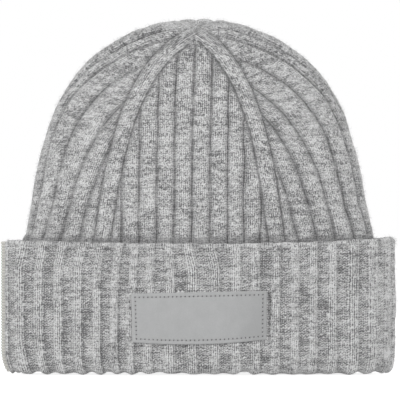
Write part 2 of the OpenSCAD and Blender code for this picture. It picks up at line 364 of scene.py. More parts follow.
def patch_skin(name):
    """Smooth soft patch: a faint leather grain, worn a little paler at the edges, painted shade towards its
    right end and dark painted shade in the needle holes.
    """
    colours = bpy.context.scene.beanie_colours
    made = Finish(name)
    place = made.field("yarn")
    edge, hole, light = made.parts(made.field("relief"))
    grain = made.node("ShaderNodeTexVoronoi", {"feature": "SMOOTH_F1"}, {"Vector": place, "Scale": 2.2})
    cloud = made.noise(place, 0.12, 2.0)
    speck = made.noise(place, 1.3, 2.0, 0.6)
    tone = 0.5 + light + (cloud - 0.5) * 0.8 + (grain - 0.4) * 0.12 + (speck - 0.5) * 0.8 + edge * 0.12
    skin = made.mix(tone.clamped(), opaque(colours.patch, 0.88), opaque(colours.patch, 1.12))
    return made.surface(
        # The needle holes are painted nearly black, as painted shade inside them.
        base_color=made.mix(hole, skin, opaque(colours.hole)),
        normal=made.bump(grain, 0.12, 0.12 * MM),
        roughness=0.52 + (cloud - 0.5) * 0.12, specular_ior_level=0.35,
    )


def stray_wool(name):
    """Single fibres, some pale and some dark, as in the heather."""
    colours = bpy.context.scene.beanie_colours
    made = Finish(name)
    tone = made.parts(made.field("relief"))[0].clamped()
    return made.surface(
        base_color=made.mix(tone, opaque(colours.wool_dark, 2.2), opaque(colours.wool_light)),
        roughness=0.9, specular_ior_level=0.2,
    )


def label_tape(name):
    """Satin label tape: fine warp threads, a little fluff in the weave."""
    colours = bpy.context.scene.beanie_colours
    made = Finish(name)
    place = made.field("yarn")
    warp = made.bands(place, 1.6, 0.3)
    cloud = made.noise(place, 0.5, 2.0)
    tone = (0.55 + (warp - 0.5) * 0.3 + (cloud - 0.5) * 0.4).clamped()
    return made.surface(
        base_color=made.mix(tone, opaque(colours.tape, 0.8), opaque(colours.tape)),
        normal=made.bump(warp, 0.3, 0.05 * MM), roughness=0.5, sheen_weight=0.1,
    )


# Meshes ---------------------------------------------------------------------------------------

# A lining keeps every fourth point of the rows and columns of its face.
LINING = 4
# Windows of the unrolled map: left, bottom, right and top.
FACE_WINDOW = (0.0, 0.0, 1.0, 0.86)
LINING_WINDOW = (0.0, 0.875, 1.0, 0.965)
RIM_WINDOWS = [(0.0, v, 1.0, v + 0.006) for v in (0.968, 0.976, 0.984, 0.992)]
CAP_WINDOWS = [(u, 0.968, u + 0.1, 0.998) for u in (0.1, 0.3)]
WHOLE_MAP = (0.0, 0.0, 1.0, 1.0)


class Skin:
    """Gathers grids of points into one mesh, with its fields and its unrolled map.

    The field yarn holds places on the fabric in millimetres. The field relief holds three numbers for
    the material: on the knit these are how high a point lies, its stitch and its light. The first two
    set painted shade in the grooves and between the stitches.
    """

    def __init__(self):
        self.points = []
        self.yarn = []
        self.relief = []
        self.count = 0
        self.faces = []
        self.maps = []
        self.creases = []

    def add(self, points, yarn=(0, 0, 0), relief=(0, 0, 0)):
        """Adds a block of points and returns their numbers in the block's own shape."""
        shape = points.shape[:-1]
        number = int(np.prod(shape))
        self.points.append(points.reshape(-1, 3))
        for kept, given in ((self.yarn, yarn), (self.relief, relief)):
            kept.append(np.stack([np.broadcast_to(part, shape) for part in given], -1).reshape(-1, 3))
        numbers = np.arange(self.count, self.count + number).reshape(shape)
        self.count += number
        return numbers

    def close(self, face, lining, ring=False, capped=False):
        """Closes the space between a fine face and its coarser lining."""
        self.quads(face, FACE_WINDOW, wrap_columns=ring)
        self.quads(lining, LINING_WINDOW, flip=True, wrap_columns=ring)
        fine, coarse = (np.hstack([g, g[:, :1]]) if ring else g for g in (face, lining))
        self.rim(fine[0], coarse[0], RIM_WINDOWS[0])
        if capped:
            self.cap(face[-1], CAP_WINDOWS[0])
            self.cap(lining[-1], CAP_WINDOWS[1], flip=True)
        else:
            self.rim(fine[-1], coarse[-1], RIM_WINDOWS[1], flip=True)
        if not ring:
            self.rim(fine[:, 0], coarse[:, 0], RIM_WINDOWS[2], flip=True)
            self.rim(fine[:, -1], coarse[:, -1], RIM_WINDOWS[3])

    def sheet(self, face, lining, yarn, relief, lining_relief=None, ring=False, capped=False):
        """A closed sheet between a finely knitted face and its lining, of which fewer points are kept."""
        shape = face.shape[:-1]
        fields = [yarn, relief if lining_relief is None else lining_relief]
        thinned = [[np.broadcast_to(part, shape)[::LINING, ::LINING] for part in field] for field in fields]
        front = self.add(face, yarn, relief)
        back = self.add(lining[::LINING, ::LINING], *thinned)
        self.close(front, back, ring, capped)

    def quads(self, numbers, window, flip=False, wrap_rows=False, wrap_columns=False):
        """Faces between the rows and columns of a block, unrolled into a window of the map."""
        rows, columns = numbers.shape
        u = np.linspace(window[0], window[2], columns + wrap_columns)
        v = np.linspace(window[1], window[3], rows + wrap_rows)
        if wrap_rows:
            numbers = np.vstack([numbers, numbers[:1]])
        if wrap_columns:
            numbers = np.hstack([numbers, numbers[:, :1]])
        grid_u, grid_v = np.meshgrid(u, v)
        near, far = slice(None, -1), slice(1, None)
        corners = [(near, near), (near, far), (far, far), (far, near)]
        if flip:
            corners = corners[::-1]
        self.faces.append(np.stack([numbers[c] for c in corners], -1).reshape(-1, 4))
        spots = [np.stack([grid_u[c], grid_v[c]], -1) for c in corners]
        self.maps.append(np.stack(spots, -2).reshape(-1, 4, 2))

    def rim(self, fine, coarse, window, flip=False):
        """Triangles that join the fine edge of a face to the coarse edge of its lining, with a crease."""
        step = (len(fine) - 1) // (len(coarse) - 1)
        faces = []
        for k, start in enumerate(range(0, len(fine) - 1, step)):
            half_way = start + step // 2
            for j in range(start, start + step):
                near = coarse[k] if j < half_way else coarse[k + 1]
                faces.append((fine[j + 1], fine[j], near))
            faces.append((fine[half_way], coarse[k], coarse[k + 1]))
        faces = np.array(faces)
        self.faces.append(faces[:, ::-1] if flip else faces)
        u = np.linspace(window[0], window[2], len(faces) + 1)
        corners = ((u[:-1], window[1]), (u[1:], window[1]), (u[1:], window[3]))
        self.maps.append(np.stack([np.stack(np.broadcast_arrays(*c), -1) for c in corners], 1))
        for edge in (fine, coarse):
            self.creases.append(np.stack([edge[:-1], edge[1:]], -1))

    def cap(self, numbers, window, flip=False):
        """One face over a closed ring of points."""
        ring = numbers[::-1] if flip else numbers
        self.faces.append(np.array([ring]))
        turn = np.linspace(0, TAU, len(ring), endpoint=False)
        middle = np.array([window[0] + window[2], window[1] + window[3]]) / 2
        half = np.array([window[2] - window[0], window[3] - window[1]]) / 2
        self.maps.append((middle + half * np.stack([np.cos(turn), np.sin(turn)], -1))[None])

    def build(self, name, material, replaces=(), body=HAT):
        """Makes the piece, with its fields, its map and its place on a body."""
        mesh = bpy.data.meshes.new(name)
        points = np.vstack(self.points)
        loops = np.concatenate([f.ravel() for f in self.faces])
        sizes = np.concatenate([np.full(len(f), f.shape[1]) for f in self.faces])
        spots = np.vstack([m.reshape(-1, 2) for m in self.maps])
        mesh.vertices.add(len(points))
        mesh.vertices.foreach_set("co", points.ravel())
        mesh.loops.add(len(loops))
        mesh.loops.foreach_set("vertex_index", loops)
        mesh.polygons.add(len(sizes))
        mesh.polygons.foreach_set("loop_start", np.r_[0, np.cumsum(sizes)[:-1]])
        mesh.update(calc_edges=True)
        mesh.polygons.foreach_set("use_smooth", np.ones(len(sizes), bool))
        unrolled = mesh.uv_layers.new(name="OFBake")
        unrolled.uv.foreach_set("vector", spots.astype(np.float32).ravel())
        for field, values in {"yarn": self.yarn, "relief": self.relief}.items():
            attribute = mesh.attributes.new(field, "FLOAT_VECTOR", "POINT")
            attribute.data.foreach_set("vector", np.vstack(values).astype(np.float32).ravel())
        if self.creases:
            self.mark_creases(mesh, len(points))
        if mesh.validate():
            raise RuntimeError(f"{name} has stray faces")
        mesh.materials.append(material)
        made = bpy.data.objects.new(name, mesh)
        bpy.context.scene.collection.objects.link(made)
        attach(made, body)
        if replaces:
            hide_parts(*replaces)
        return made

    def mark_creases(self, mesh, number):
        """Keeps the edges between face, rim and lining sharp."""
        marked = np.vstack(self.creases)
        keys = np.unique(marked.min(1) * number + marked.max(1))
        edges = np.zeros(len(mesh.edges) * 2, np.int64)
        mesh.edges.foreach_get("vertices", edges)
        edges = edges.reshape(-1, 2)
        sharp = np.isin(edges.min(1) * number + edges.max(1), keys)
        mesh.attributes.new("sharp_edge", "BOOLEAN", "EDGE").data.foreach_set("value", sharp)


def smooth(edge_a, edge_b, x):
    """Rises softly from 0 at one edge to 1 at the other."""
    t = np.clip((x - edge_a) / (edge_b - edge_a), 0, 1)
    return t * t * (3 - 2 * t)


def hump(x, middle, width):
    """A soft hump, 1 at its middle."""
    return np.exp(-(((x - middle) / width) ** 2))


def unit(vectors):
    """The same directions with length 1."""
    return vectors / np.linalg.norm(vectors, axis=-1, keepdims=True)


class Ripples:
    """Smooth seeded unevenness from -1 to 1, as a function of a place in space."""

    def __init__(self, seed, cells=24):
        self.cells = cells
        self.lattice = np.random.default_rng(seed).uniform(-1, 1, (cells,) * 3)

    def at(self, points, size):
        """The unevenness at some points, with lumps of this size."""
        spot = points / size
        cell = np.floor(spot).astype(int)
        part = smooth(0, 1, spot - cell)
        total = 0
        for corner in np.ndindex(2, 2, 2):
            weight = np.ones(points.shape[:-1])
            for axis in range(3):
                weight = weight * (part[..., axis] if corner[axis] else 1 - part[..., axis])
            index = [(cell[..., axis] + corner[axis]) % self.cells for axis in range(3)]
            total = total + weight * self.lattice[tuple(index)]
        return total

    def layers(self, points, *layers):
        """Layers of unevenness on each other, each with its size and its amount."""
        return sum(amount * self.at(points, size) for size, amount in layers)


class HatForm:
    """The smooth form under the knit. Places go round the hat in ribs, from the middle of the front."""

    def __init__(self):
        self.sizes = bpy.context.scene.beanie_sizes
        self.knit = bpy.context.scene.beanie_knit
        turn_steps, rise_steps = 20000, 4000
        self.turns = np.linspace(0, TAU, turn_steps + 1)
        s = self.sizes
        self.crown_run, self.crown_girth = self.outline(s.crown_w, s.crown_d)
        self.cuff_run, self.cuff_girth = self.outline(s.cuff_w, s.cuff_d)
        self.crown_rise = s.hat_h - s.cuff_h
        # The crown stands nearly upright over the cuff and rounds over fully towards the top.
        angles = np.linspace(0, math.pi / 2, rise_steps + 1)
        self.rises = np.unique(np.r_[np.linspace(0, 1, rise_steps + 1), np.sqrt(np.sin(angles))])
        narrow = np.sqrt(1 - self.rises**4)
        mean = (s.crown_w + s.crown_d - s.lean * self.rises) * narrow / 2
        steps = np.hypot(np.diff(mean), self.crown_rise * np.diff(self.rises))
        self.side_run = np.r_[0, np.cumsum(steps)]
        self.side_length = self.side_run[-1]
        gather_rise = 1 - s.gather_drop / self.crown_rise
        reach = 1 - np.interp(gather_rise, self.rises, self.side_run) / self.side_length
        self.gather = reach * np.array([math.sin(s.gather_turn), -math.cos(s.gather_turn)])
        self.gather_share = 1 - s.gather_r / self.side_length
        self.gather_point = self.point(0.0, 1.0)

    def oval(self, half_w, half_d, turn):
        """A point of the squarish oval plan."""
        power = 2 / self.sizes.squareness
        sine, cosine = np.sin(turn), np.cos(turn)
        x = half_w * np.sign(sine) * np.abs(sine) ** power
        y = -half_d * np.sign(cosine) * np.abs(cosine) ** power
        return x, y

    def outline(self, half_w, half_d):
        """Share of the way round an oval at each turn, and the oval's girth."""
        x, y = self.oval(half_w, half_d, self.turns)
        run = np.r_[0, np.cumsum(np.hypot(np.diff(x), np.diff(y)))]
        return run / run[-1], run[-1]

    def all_round(self, columns, start=0):
        """Evenly spaced places all the way round the hat."""
        return start + np.arange(columns) / columns * self.knit.ribs

    def run_share(self, place):
        """Share of the way round at a place: ribs are a little wider at the sides."""
        part = place / self.knit.ribs
        return part - self.knit.side_stretch / (2 * TAU) * np.sin(2 * TAU * part)

    def turn(self, place, run):
        """The oval's angle at a place."""
        return np.interp(np.mod(self.run_share(place), 1), run, self.turns)

    def point(self, place, share, inset=0.0):
        """A point of the crown, or of the layer behind the cuff where share is below 0."""
        s = self.sizes
        place, share = np.broadcast_arrays(np.asarray(place, float), np.asarray(share, float))
        up = np.maximum(share, 0)
        below = np.maximum(-share, 0) * self.side_length
        around = TAU * place / self.knit.ribs
        flat_x = (1 - up) * np.sin(around) + up * self.gather[0]
        flat_y = -(1 - up) * np.cos(around) + up * self.gather[1]
        radius = np.minimum(1, np.hypot(flat_x, flat_y))
        rise = np.interp((1 - radius) * self.side_length, self.side_run, self.rises)
        narrow = np.sqrt(np.maximum(0, 1 - rise**4))
        spread = below / (s.cuff_h - s.fold_h)
        half_w = (s.crown_w - s.lean * rise) * narrow + (s.rim_w - s.crown_w) * spread
        half_d = s.crown_d * narrow + (s.rim_d - s.crown_d) * spread
        bearing = np.arctan2(flat_x, -flat_y) / TAU * self.knit.ribs
        x, y = self.oval(half_w, half_d, self.turn(bearing, self.crown_run))
        points = np.stack([x, y, s.cuff_h + self.crown_rise * rise - below], -1)
        if inset:
            points = points - inset * self.normal(place, share)
        return points

    def normal(self, place, share):
        """Outward direction of the crown, from the points a small step to each side."""
        side, lift = 0.02, 0.002
        along = self.point(place + side, share) - self.point(place - side, share)
        up = self.point(place, share + lift) - self.point(place, share - lift)
        return unit(np.cross(along, up))

    def band_share(self, height):
        """The share, below 0, at which the layer behind the cuff has this height."""
        return (height - self.sizes.cuff_h) / self.side_length

    def cuff_point(self, place, height, inset=0.0):
        """A point of the cuff's outer face, over the tops of its ribs."""
        k, s = self.knit, self.sizes
        down = np.clip(1 - height / k.corner_h, 0, 1)
        rounding = 1 - np.sqrt(1 - down**2)
        turn = self.turn(place, self.cuff_run)
        corner_w = k.corner_w + (k.corner_right - k.corner_w) * smooth(-0.5, 0.5, np.sin(turn))
        drawn_in = k.seam_tuck * hump(self.from_seam(place), 0, k.seam_reach)
        x, y = self.oval(
            s.cuff_w - corner_w * rounding - drawn_in - inset,
            s.cuff_d - k.corner_d * rounding - inset,
            turn,
        )
        return np.stack(np.broadcast_arrays(x, y, height), -1)

    def cuff_count(self, place):
        """Ribs of the cuff from the middle of the front, evenly spaced there as seen from in front."""
        k, s = self.knit, self.sizes
        middle = np.mod(place + k.ribs / 2, k.ribs) - k.ribs / 2
        run = np.abs(self.run_share(middle)) * self.cuff_girth
        quarter = self.cuff_girth / 4
        seen = self.cuff_point(place, s.cuff_h)[..., 0]
        even_turn = math.asin((k.even_half / s.cuff_w) ** (s.squareness / 2))
        even_run = np.interp(even_turn, self.turns, self.cuff_run) * self.cuff_girth
        even = (np.clip(seen, -k.even_half, k.even_half) + k.seen_shift) / k.seen_pitch
        last = np.where(middle < 0, 0.5 - k.ribs / 4, 0.5 + k.ribs / 4)
        beyond = np.clip((run - even_run) / (quarter - even_run), 0, 1)
        front = even + beyond * (last - even)
        back = last + np.sign(middle) * (run - quarter) / self.cuff_girth * k.ribs
        return np.where(run < quarter, front, back)

    def from_seam(self, place):
        """Distance round the cuff from the side seam."""
        ribs = self.knit.ribs
        return (np.mod(place + 3 * ribs / 4, ribs) - ribs / 2) / ribs * self.cuff_girth

    def cuff_top(self, place):
        """The cuff's upper edge lies lowest at the middle and highest at the right."""
        x = self.cuff_point(place, self.sizes.cuff_h)[..., 0] / self.sizes.cuff_w
        lowest = self.sizes.cuff_h - 1.6 * MM
        rise, to_the_right = 2.75 * MM, 0.75 * MM
        right_corner = 1.2 * MM * smooth(0.985, 1, x)
        left_corner = 2.6 * MM * smooth(-0.965, -1, x) ** 1.5
        return lowest + (rise + to_the_right * x) * x**2 - (right_corner + left_corner)


def shoulder(distance, half):
    """How a rib rises from its groove: steep at first, then nearly flat."""
    steepness = 3.7
    return 1 - (1 - np.clip(distance / half, 0, 1)) ** steepness


def knit_loops(across, along):
    """Columns of knit stitches, each a V of two legs, from 0 in the gaps to 1 on the yarn."""
    slope, lowest = 1.1, 0.35
    side = np.abs(np.mod(across, 1) - 0.5)
    body = np.sqrt(np.sin(TAU * side).clip(0, 1))
    leg = 0.5 + 0.5 * np.cos(TAU * (along - slope * side))
    return body * (lowest + (1 - lowest) * leg)


def purl_loops(across, along):
    """Purl stitches: level rows of yarn that arch up and down from column to column."""
    thinned = 0.25
    zigzag = np.abs(np.mod(across, 1) - 0.5)
    row = 0.5 + 0.5 * np.cos(TAU * (along + zigzag))
    return row * (1 - thinned + thinned * np.cos(2 * TAU * across))


def distance_to(line, points):
    """Distance of each point from the nearest point of a line."""
    tree = KDTree(len(line))
    for number, spot in enumerate(line):
        tree.insert(spot, number)
    tree.balance()
    flat = points.reshape(-1, 3)
    return np.array([tree.find(spot)[2] for spot in flat]).reshape(points.shape[:-1])


def area_of(grid):
    """Area of a grid of points."""
    a = grid[1:, 1:] - grid[:-1, :-1]
    b = grid[1:, :-1] - grid[:-1, 1:]
    return float(np.linalg.norm(np.cross(a, b), axis=-1).sum() / 2)


def run_along(grid, axis):
    """Distance along the rows or columns of a grid."""
    steps = np.linalg.norm(np.diff(grid, axis=axis), axis=-1)
    return np.concatenate([np.zeros_like(steps.take([0], axis)), np.cumsum(steps, axis)], axis)


# Pieces ---------------------------------------------------------------------------------------

# The crown's soft unevenness: the size and the height of each layer.
SWELL = ((17 * MM, 0.5 * MM), (5 * MM, 0.22 * MM))


def gores(knit):
    """Each gore of the crown: where it starts, its middle and its end in ribs, and its columns."""
    half = knit.gore_ribs / 2
    quarter = knit.ribs / 4
    front, back = -knit.front_turn, knit.ribs / 2 - knit.front_turn
    return {
        "crown_front": (front - half, front, front + half, 240),
        "crown_right": (front + half, quarter, back - half, 292),
        "crown_back": (back - half, back, back + half, 240),
        "crown_left": (back + half, 3 * quarter, knit.ribs + front - half, 292),
    }


def on_side(form, middle):
    """True for the gores whose middle is a side line of the hat."""
    quarter = form.knit.ribs / 4
    return abs((middle + quarter) % (2 * quarter) - quarter) > quarter / 2


def count_ribs(form, across, shares, middle):
    """Ribs from the middle of a gore. Those near a side line are drawn in towards it higher up."""
    k = form.knit
    most = 9
    counts = np.linspace(-most, most, 80 * most + 1)
    part = counts / k.ribs
    if not on_side(form, middle):
        spread = (form.run_share(middle + counts) - form.run_share(middle)) * form.crown_girth
        to_right = 0.6 * MM + 1.2 * MM * hump(across, 18 * MM, 16 * MM)
        return np.interp(across - to_right, spread, counts)
    spread = (part + k.crown_stretch / (2 * TAU) * np.sin(2 * TAU * part)) * form.crown_girth
    near_line = smooth(2.6, 1, np.abs(counts))
    drawn = k.side_draw * smooth(0.1, 0.6, shares[:, 0])
    rows = zip(across, drawn)
    return np.array([np.interp(row, spread * (1 - draw * near_line), counts) for row, draw in rows])


def along_ribs(base, count):
    """Distance up each rib from the lowest row, so that the rows of stitches run square to the ribs."""
    line_count = 320
    lines = np.linspace(count[0].min(), count[0].max(), line_count)
    spots = np.array([
        np.stack([np.interp(lines, counts, row[:, axis]) for axis in range(3)], -1)
        for row, counts in zip(base, count)
    ])
    runs = run_along(spots, 0)
    return np.array([np.interp(counts, lines, run) for counts, run in zip(count, runs)])


def rib_strength(form, base, in_dart, uneven):
    """How strongly the ribs stand out: less towards the gather, more on the right, never quite evenly."""
    off = base - form.gather_point
    gap = np.linalg.norm(off, axis=-1)
    behind = smooth(-1 * MM, 6 * MM, off[..., 1]) * smooth(-2 * MM, 2 * MM, off[..., 2])
    in_front = smooth(3 * MM, 12 * MM, gap)
    at_back = 0.25 + 0.75 * smooth(8 * MM, 40 * MM, gap)
    on_dart = 0.85 + 0.15 * smooth(8 * MM, 34 * MM, gap)
    return (
        (in_front * (1 - behind) + at_back * behind)
        * np.where(in_dart, on_dart, 1)
        * (1 + uneven.layers(base, (13 * MM, 0.12), (4 * MM, 0.2)))
        * (1 + 0.14 * smooth(10 * MM, 60 * MM, base[..., 0]))
    )


def crown_light(base, uneven):
    """The crown's painted light and shade: darker where the front is drawn in, paler on top, and a tangled
    random tone everywhere.
    """
    x, z = base[..., 0], base[..., 2]
    drawn_in = hump(z, 189 * MM, 12 * MM) * hump(x, 0, 48 * MM)
    painted_light_top = smooth(196 * MM, 207 * MM, z)
    tangled = uneven.at(base, 1.3 * MM) * (0.25 + smooth(160 * MM, 185 * MM, z))
    return 0.5 - 0.45 * drawn_in + 0.5 * painted_light_top + 0.9 * tangled


def knit_gore(form, name, start, middle, end, columns):
    """Knits one gore, from behind the cuff up to the gather, with half a rib along each of its darts."""
    k, s = form.knit, form.sizes
    rows, foot = 304, 70 * MM
    places = np.linspace(start, end, columns + 1)[None, :]
    shares = np.linspace(form.band_share(foot), form.gather_share, rows + 1)[:, None]
    base = form.point(places, shares)
    normal = form.normal(places, shares)
    uneven = Ripples(7)
    x, z = base[..., 0], base[..., 2]

    run = run_along(base, 1)
    centre = np.array([np.interp(middle, places[0], row) for row in run])
    across = run - centre[:, None]
    wander = uneven.at(base, 9 * MM) * 0.55 * MM
    count = count_ribs(form, across + wander, shares, middle)
    pitch = form.crown_girth / k.ribs
    width = np.gradient(across, axis=1) / np.gradient(count, axis=1)
    side_gore = on_side(form, middle)
    from_groove = np.abs(count - np.round(count)) * width * (1 - 0.22 * side_gore)
    joined = smooth(0.1, 0.3, shares) * smooth(0.5, 0.4, np.abs(count)) * side_gore
    from_groove = from_groove + joined * (pitch / 2 - from_groove)

    line_points = 2400
    line_shares = np.linspace(shares[0, 0], 1, line_points)
    darts = [distance_to(form.point(edge, line_shares), base) for edge in (start, end)]
    to_dart = np.minimum(*darts) + wander * 0.5
    in_dart = to_dart < k.dart_half
    dart_rib = shoulder(k.dart_half - to_dart, k.dart_half)
    plain_rib = np.minimum(shoulder(from_groove, pitch / 2), shoulder(to_dart - k.dart_half, pitch / 2))
    height = 1 - (1 - np.where(in_dart, dart_rib, plain_rib)) * rib_strength(form, base, in_dart, uneven)

    risen = np.where(in_dart, run_along(base, 0), along_ribs(base, count))
    courses = risen / k.course + 0.5 * uneven.at(base, 2.4 * MM)
    wales = np.where(in_dart, to_dart / k.wale, (np.mod(count, 1) - 0.5) * width / k.wale + 0.5)
    loops = knit_loops(wales, courses)
    swell = uneven.layers(base, *SWELL)
    flare_height = np.where(x > 0, 32 * MM, 5 * MM)
    flare = smooth(flare_height, 0, np.abs(z - s.cuff_h)) * smooth(0.8, 0.97, np.abs(x) / s.crown_w)
    out = (
        k.stitch * (loops - 0.5) * (0.3 + 0.7 * height) - k.groove * (1 - height)
        + swell + 1.8 * MM * flare
    )
    thick = s.knit_t + 0.9 * MM * (1 - height) - swell
    # Painted shadow: the crown is painted darker just above the cuff's edge, where it runs in behind the
    # cuff.
    above_cuff = z - s.cuff_h + uneven.at(base, 6 * MM) * 1.2 * MM
    painted_cuff_shadow = smooth(4 * MM, 0.5 * MM, above_cuff)
    light = crown_light(base, uneven)

    # The yarn of each dart and of each gore starts at a place of its own.
    dart_gap, gore_gap = 30, 40
    at_start, at_end = dart_gap * start + darts[0] / MM, dart_gap * end - darts[1] / MM
    from_dart = np.where(darts[0] < darts[1], at_start, at_end)
    sideways = np.where(in_dart, from_dart, across / MM + gore_gap * middle)

    skin = Skin()
    skin.sheet(
        base + normal * out[..., None],
        base - normal * thick[..., None],
        yarn=(sideways, courses * k.course / MM, 0),
        relief=(height * (1 - 0.8 * painted_cuff_shadow), loops, light),
        lining_relief=(0.6 + 0.4 * height, 0.5, light),
    )
    made = skin.build(name + "_knit", finish(crown_wool), [name])
    wide, tall = float(run[0].max()), float(run_along(base, 0)[-1].max())
    min(area_of(base), 0.99 * wide * tall)


class BEANIE_OT_crown(Operator):
    """Knits the four gores of the crown, with a rib along each dart"""

    bl_idname = "beanie.crown"
    bl_label = "Crown"

    def execute(self, context):
        form = HatForm()
        for name, (start, middle, end, columns) in gores(form.knit).items():
            knit_gore(form, name, start, middle, end, columns)
        return {"FINISHED"}


class BEANIE_OT_gather(Operator):
    """Draws the last loops of the crown together, with the knot of their yarn inside"""

    bl_idname = "beanie.gather"
    bl_label = "Gather and knot"

    def execute(self, context):
        form = HatForm()
        self.loops(form)
        self.knot(form)
        return {"FINISHED"}

    def loops(self, form):
        """The puckered ring of loops, closed at its middle."""
        k, s = form.knit, form.sizes
        columns, rows, puckers = 176, 16, 14
        overlap, closed, depth = 0.004, 0.98, 0.3 * MM
        places = form.all_round(columns)[None, :]
        part = np.linspace(0, 1, rows + 1)[:, None]
        shares = form.gather_share - overlap + (1 + overlap - form.gather_share) * part * closed
        base = form.point(places, shares)
        normal = form.normal(places, np.minimum(shares, 0.99))
        pucker = depth * np.cos(TAU * places / k.ribs * puckers + 2 * part) * np.sin(math.pi * part)
        sunk = 0.1 * MM + 1.3 * MM * part**2
        out = Ripples(7).layers(base, *SWELL) + pucker - sunk
        skin = Skin()
        skin.sheet(
            base + normal * out[..., None],
            base - normal * (s.knit_t - 1.0 * MM * part)[..., None],
            yarn=(places, part * 4, 0),
            relief=(1 - 0.35 * part, 0.5 + pucker / MM, 0.5),
            ring=True, capped=True,
        )
        skin.build("gather_loops", finish(crown_wool), ["crown_gather"])

    def knot(self, form):
        """A small overhand knot of yarn, pulled tight under the gather."""
        steps, sides = 120, 12
        scale, thick, drop = 0.85 * MM, 0.95 * MM, 3.2 * MM
        turn = np.linspace(0, TAU, steps, endpoint=False)
        path = scale * np.stack([
            np.sin(turn) + 2 * np.sin(2 * turn),
            np.cos(turn) - 2 * np.cos(2 * turn),
            -np.sin(3 * turn) * 1.1,
        ], -1)
        inner = form.gather_point - (form.sizes.knit_t + drop) * form.normal(0.0, 0.985)
        skin = Skin()
        tube(skin, path + inner, thick, sides, WHOLE_MAP, closed=True)
        skin.build("gather_knot", finish(seam_yarn), ["crown_gather"])


def tube(skin, path, radius, sides, window, closed=False, squash=1.0, up=(0.0, 0.0, 1.0)):
    """A round strand along a path. Its radius may change along it."""
    yarn_of_turn = 0.3
    if closed:
        tangent = unit(np.roll(path, -1, 0) - np.roll(path, 1, 0))
    else:
        tangent = unit(np.gradient(path, axis=0))
    side = unit(np.cross(tangent, np.asarray(up, float)) + 1e-6)
    top = unit(np.cross(side, tangent))
    turn = np.linspace(0, TAU, sides, endpoint=False)[None, :]
    radii = np.broadcast_to(radius, len(path))[:, None, None]
    ring = np.cos(turn)[..., None] * side[:, None] + squash * np.sin(turn)[..., None] * top[:, None]
    yarn = (turn * yarn_of_turn, run_along(path, 0)[:, None] / MM, 0)
    # Painted light and shade: the first relief number is high on the side of the strand towards up and low
    # on the other side.
    numbers = skin.add(path[:, None] + radii * ring, yarn, relief=(0.5 + 0.5 * np.sin(turn), 0.5, 0.5))
    skin.quads(numbers, window, wrap_rows=closed, wrap_columns=True, flip=True)
    if not closed:
        skin.cap(numbers[0], window)
        skin.cap(numbers[-1], window, flip=True)


class BEANIE_OT_head_band(Operator):
    """Knits the layer against the head, whose inside shows the back of the ribs"""

    bl_idname = "beanie.head_band"
    bl_label = "Head band"

    def execute(self, context):
        form = HatForm()
        k, s = form.knit, form.sizes
        columns, rows, top = 880, 96, 71 * MM
        purls, ridge_rise, stretch = 5, 0.9 * MM, 1.04
        places = form.all_round(columns)[None, :]
        heights = np.linspace(s.fold_h, top, rows + 1)[:, None]
        shares = form.band_share(heights)
        base = form.point(places, shares)
        normal = form.normal(places, shares)
        pitch = form.crown_girth / k.ribs
        ridge = 1 - shoulder(np.abs(np.mod(places + 0.5, 1) - 0.5) * pitch, pitch / 2)
        loops = purl_loops(places * purls, heights / k.course)
        inward = s.knit_t + ridge_rise * ridge + k.stitch * (loops - 0.5)
        outward = 0.6 * MM + 1.2 * MM * ridge
        skin = Skin()
        skin.sheet(
            (base - normal * inward[..., None])[:, ::-1],
            (base - normal * outward[..., None])[:, ::-1],
            yarn=(places * pitch / MM, heights / MM, 0),
            relief=(0.75 + 0.25 * ridge, loops, 0.5 + 0.5 * ridge),
            ring=True,
        )
        made = skin.build("head_band_knit", finish(cuff_wool), ["head_band"])
        return {"FINISHED"}


def rib_lean(x, height):
    """How far the ribs on the front of the cuff are drawn to the left of their even places."""
    high_part = smooth(60 * MM, 75 * MM, height)
    beside_patch = 4 * MM * hump(x, -20 * MM, 24 * MM)
    under_patch = 2.4 * MM * hump(x, -34 * MM, 12 * MM) * smooth(56 * MM, 40 * MM, height)
    right_part = 1.7 * MM * hump(x, 72 * MM, 18 * MM)
    top_middle = 2.4 * MM * high_part * smooth(25 * MM, 5 * MM, np.abs(x))
    top_left = 2.4 * MM * high_part * smooth(-25 * MM, -50 * MM, x)
    foot_left = 1.6 * MM * smooth(26 * MM, 8 * MM, height) * smooth(-80 * MM, -95 * MM, x)
    return beside_patch + under_patch + right_part + top_middle - top_left - foot_left


def cuff_light(k, spot, off, rib, courses, pitch):
    """The cuff's painted light and shade: a pale loop of each row beside a rib, partly painted highlight, a
    painted shadow in the channel to its right, deeper low on the left, and painted light at the right end.
    """
    x, y, height = np.moveaxis(spot, -1, 0)
    rib_side, fine = k.cuff_rib + 0.3 * MM, 0.4 * MM
    dots = 0.5 + 0.5 * np.cos(TAU * courses)
    edges = (0.8 * hump(off, rib_side, fine) + 0.4 * hump(off, -rib_side, fine)) * dots
    dip = hump(off, 0.6 * k.cuff_rib, fine)
    beyond = np.mod(off - k.cuff_rib, pitch)
    # Painted shadow in the channel to the right of each rib, painted deeper low on the left.
    shadow = smooth(0.5 * MM, 1.2 * MM, beyond) * smooth(5.5 * MM, 1 * MM, beyond) * (1 - rib)
    worn = 0.6 * Ripples(37).at(spot, 15 * MM) + 0.5 * Ripples(47).at(spot, 6 * MM)
    leftward = smooth(0, -60 * MM, x)
    down_left = leftward * smooth(62 * MM, 18 * MM, height)
    # Painted light: the right end of the front is painted paler.
    painted_light_right_end = smooth(88 * MM, 110 * MM, x) * smooth(0, -10 * MM, y)
    return (
        0.47 + 0.02 * rib + 0.12 * worn * rib + 0.8 * edges - 0.22 * dip
        - (0.27 + 0.14 * leftward + 0.5 * down_left) * shadow
        + 0.35 * painted_light_right_end
    )


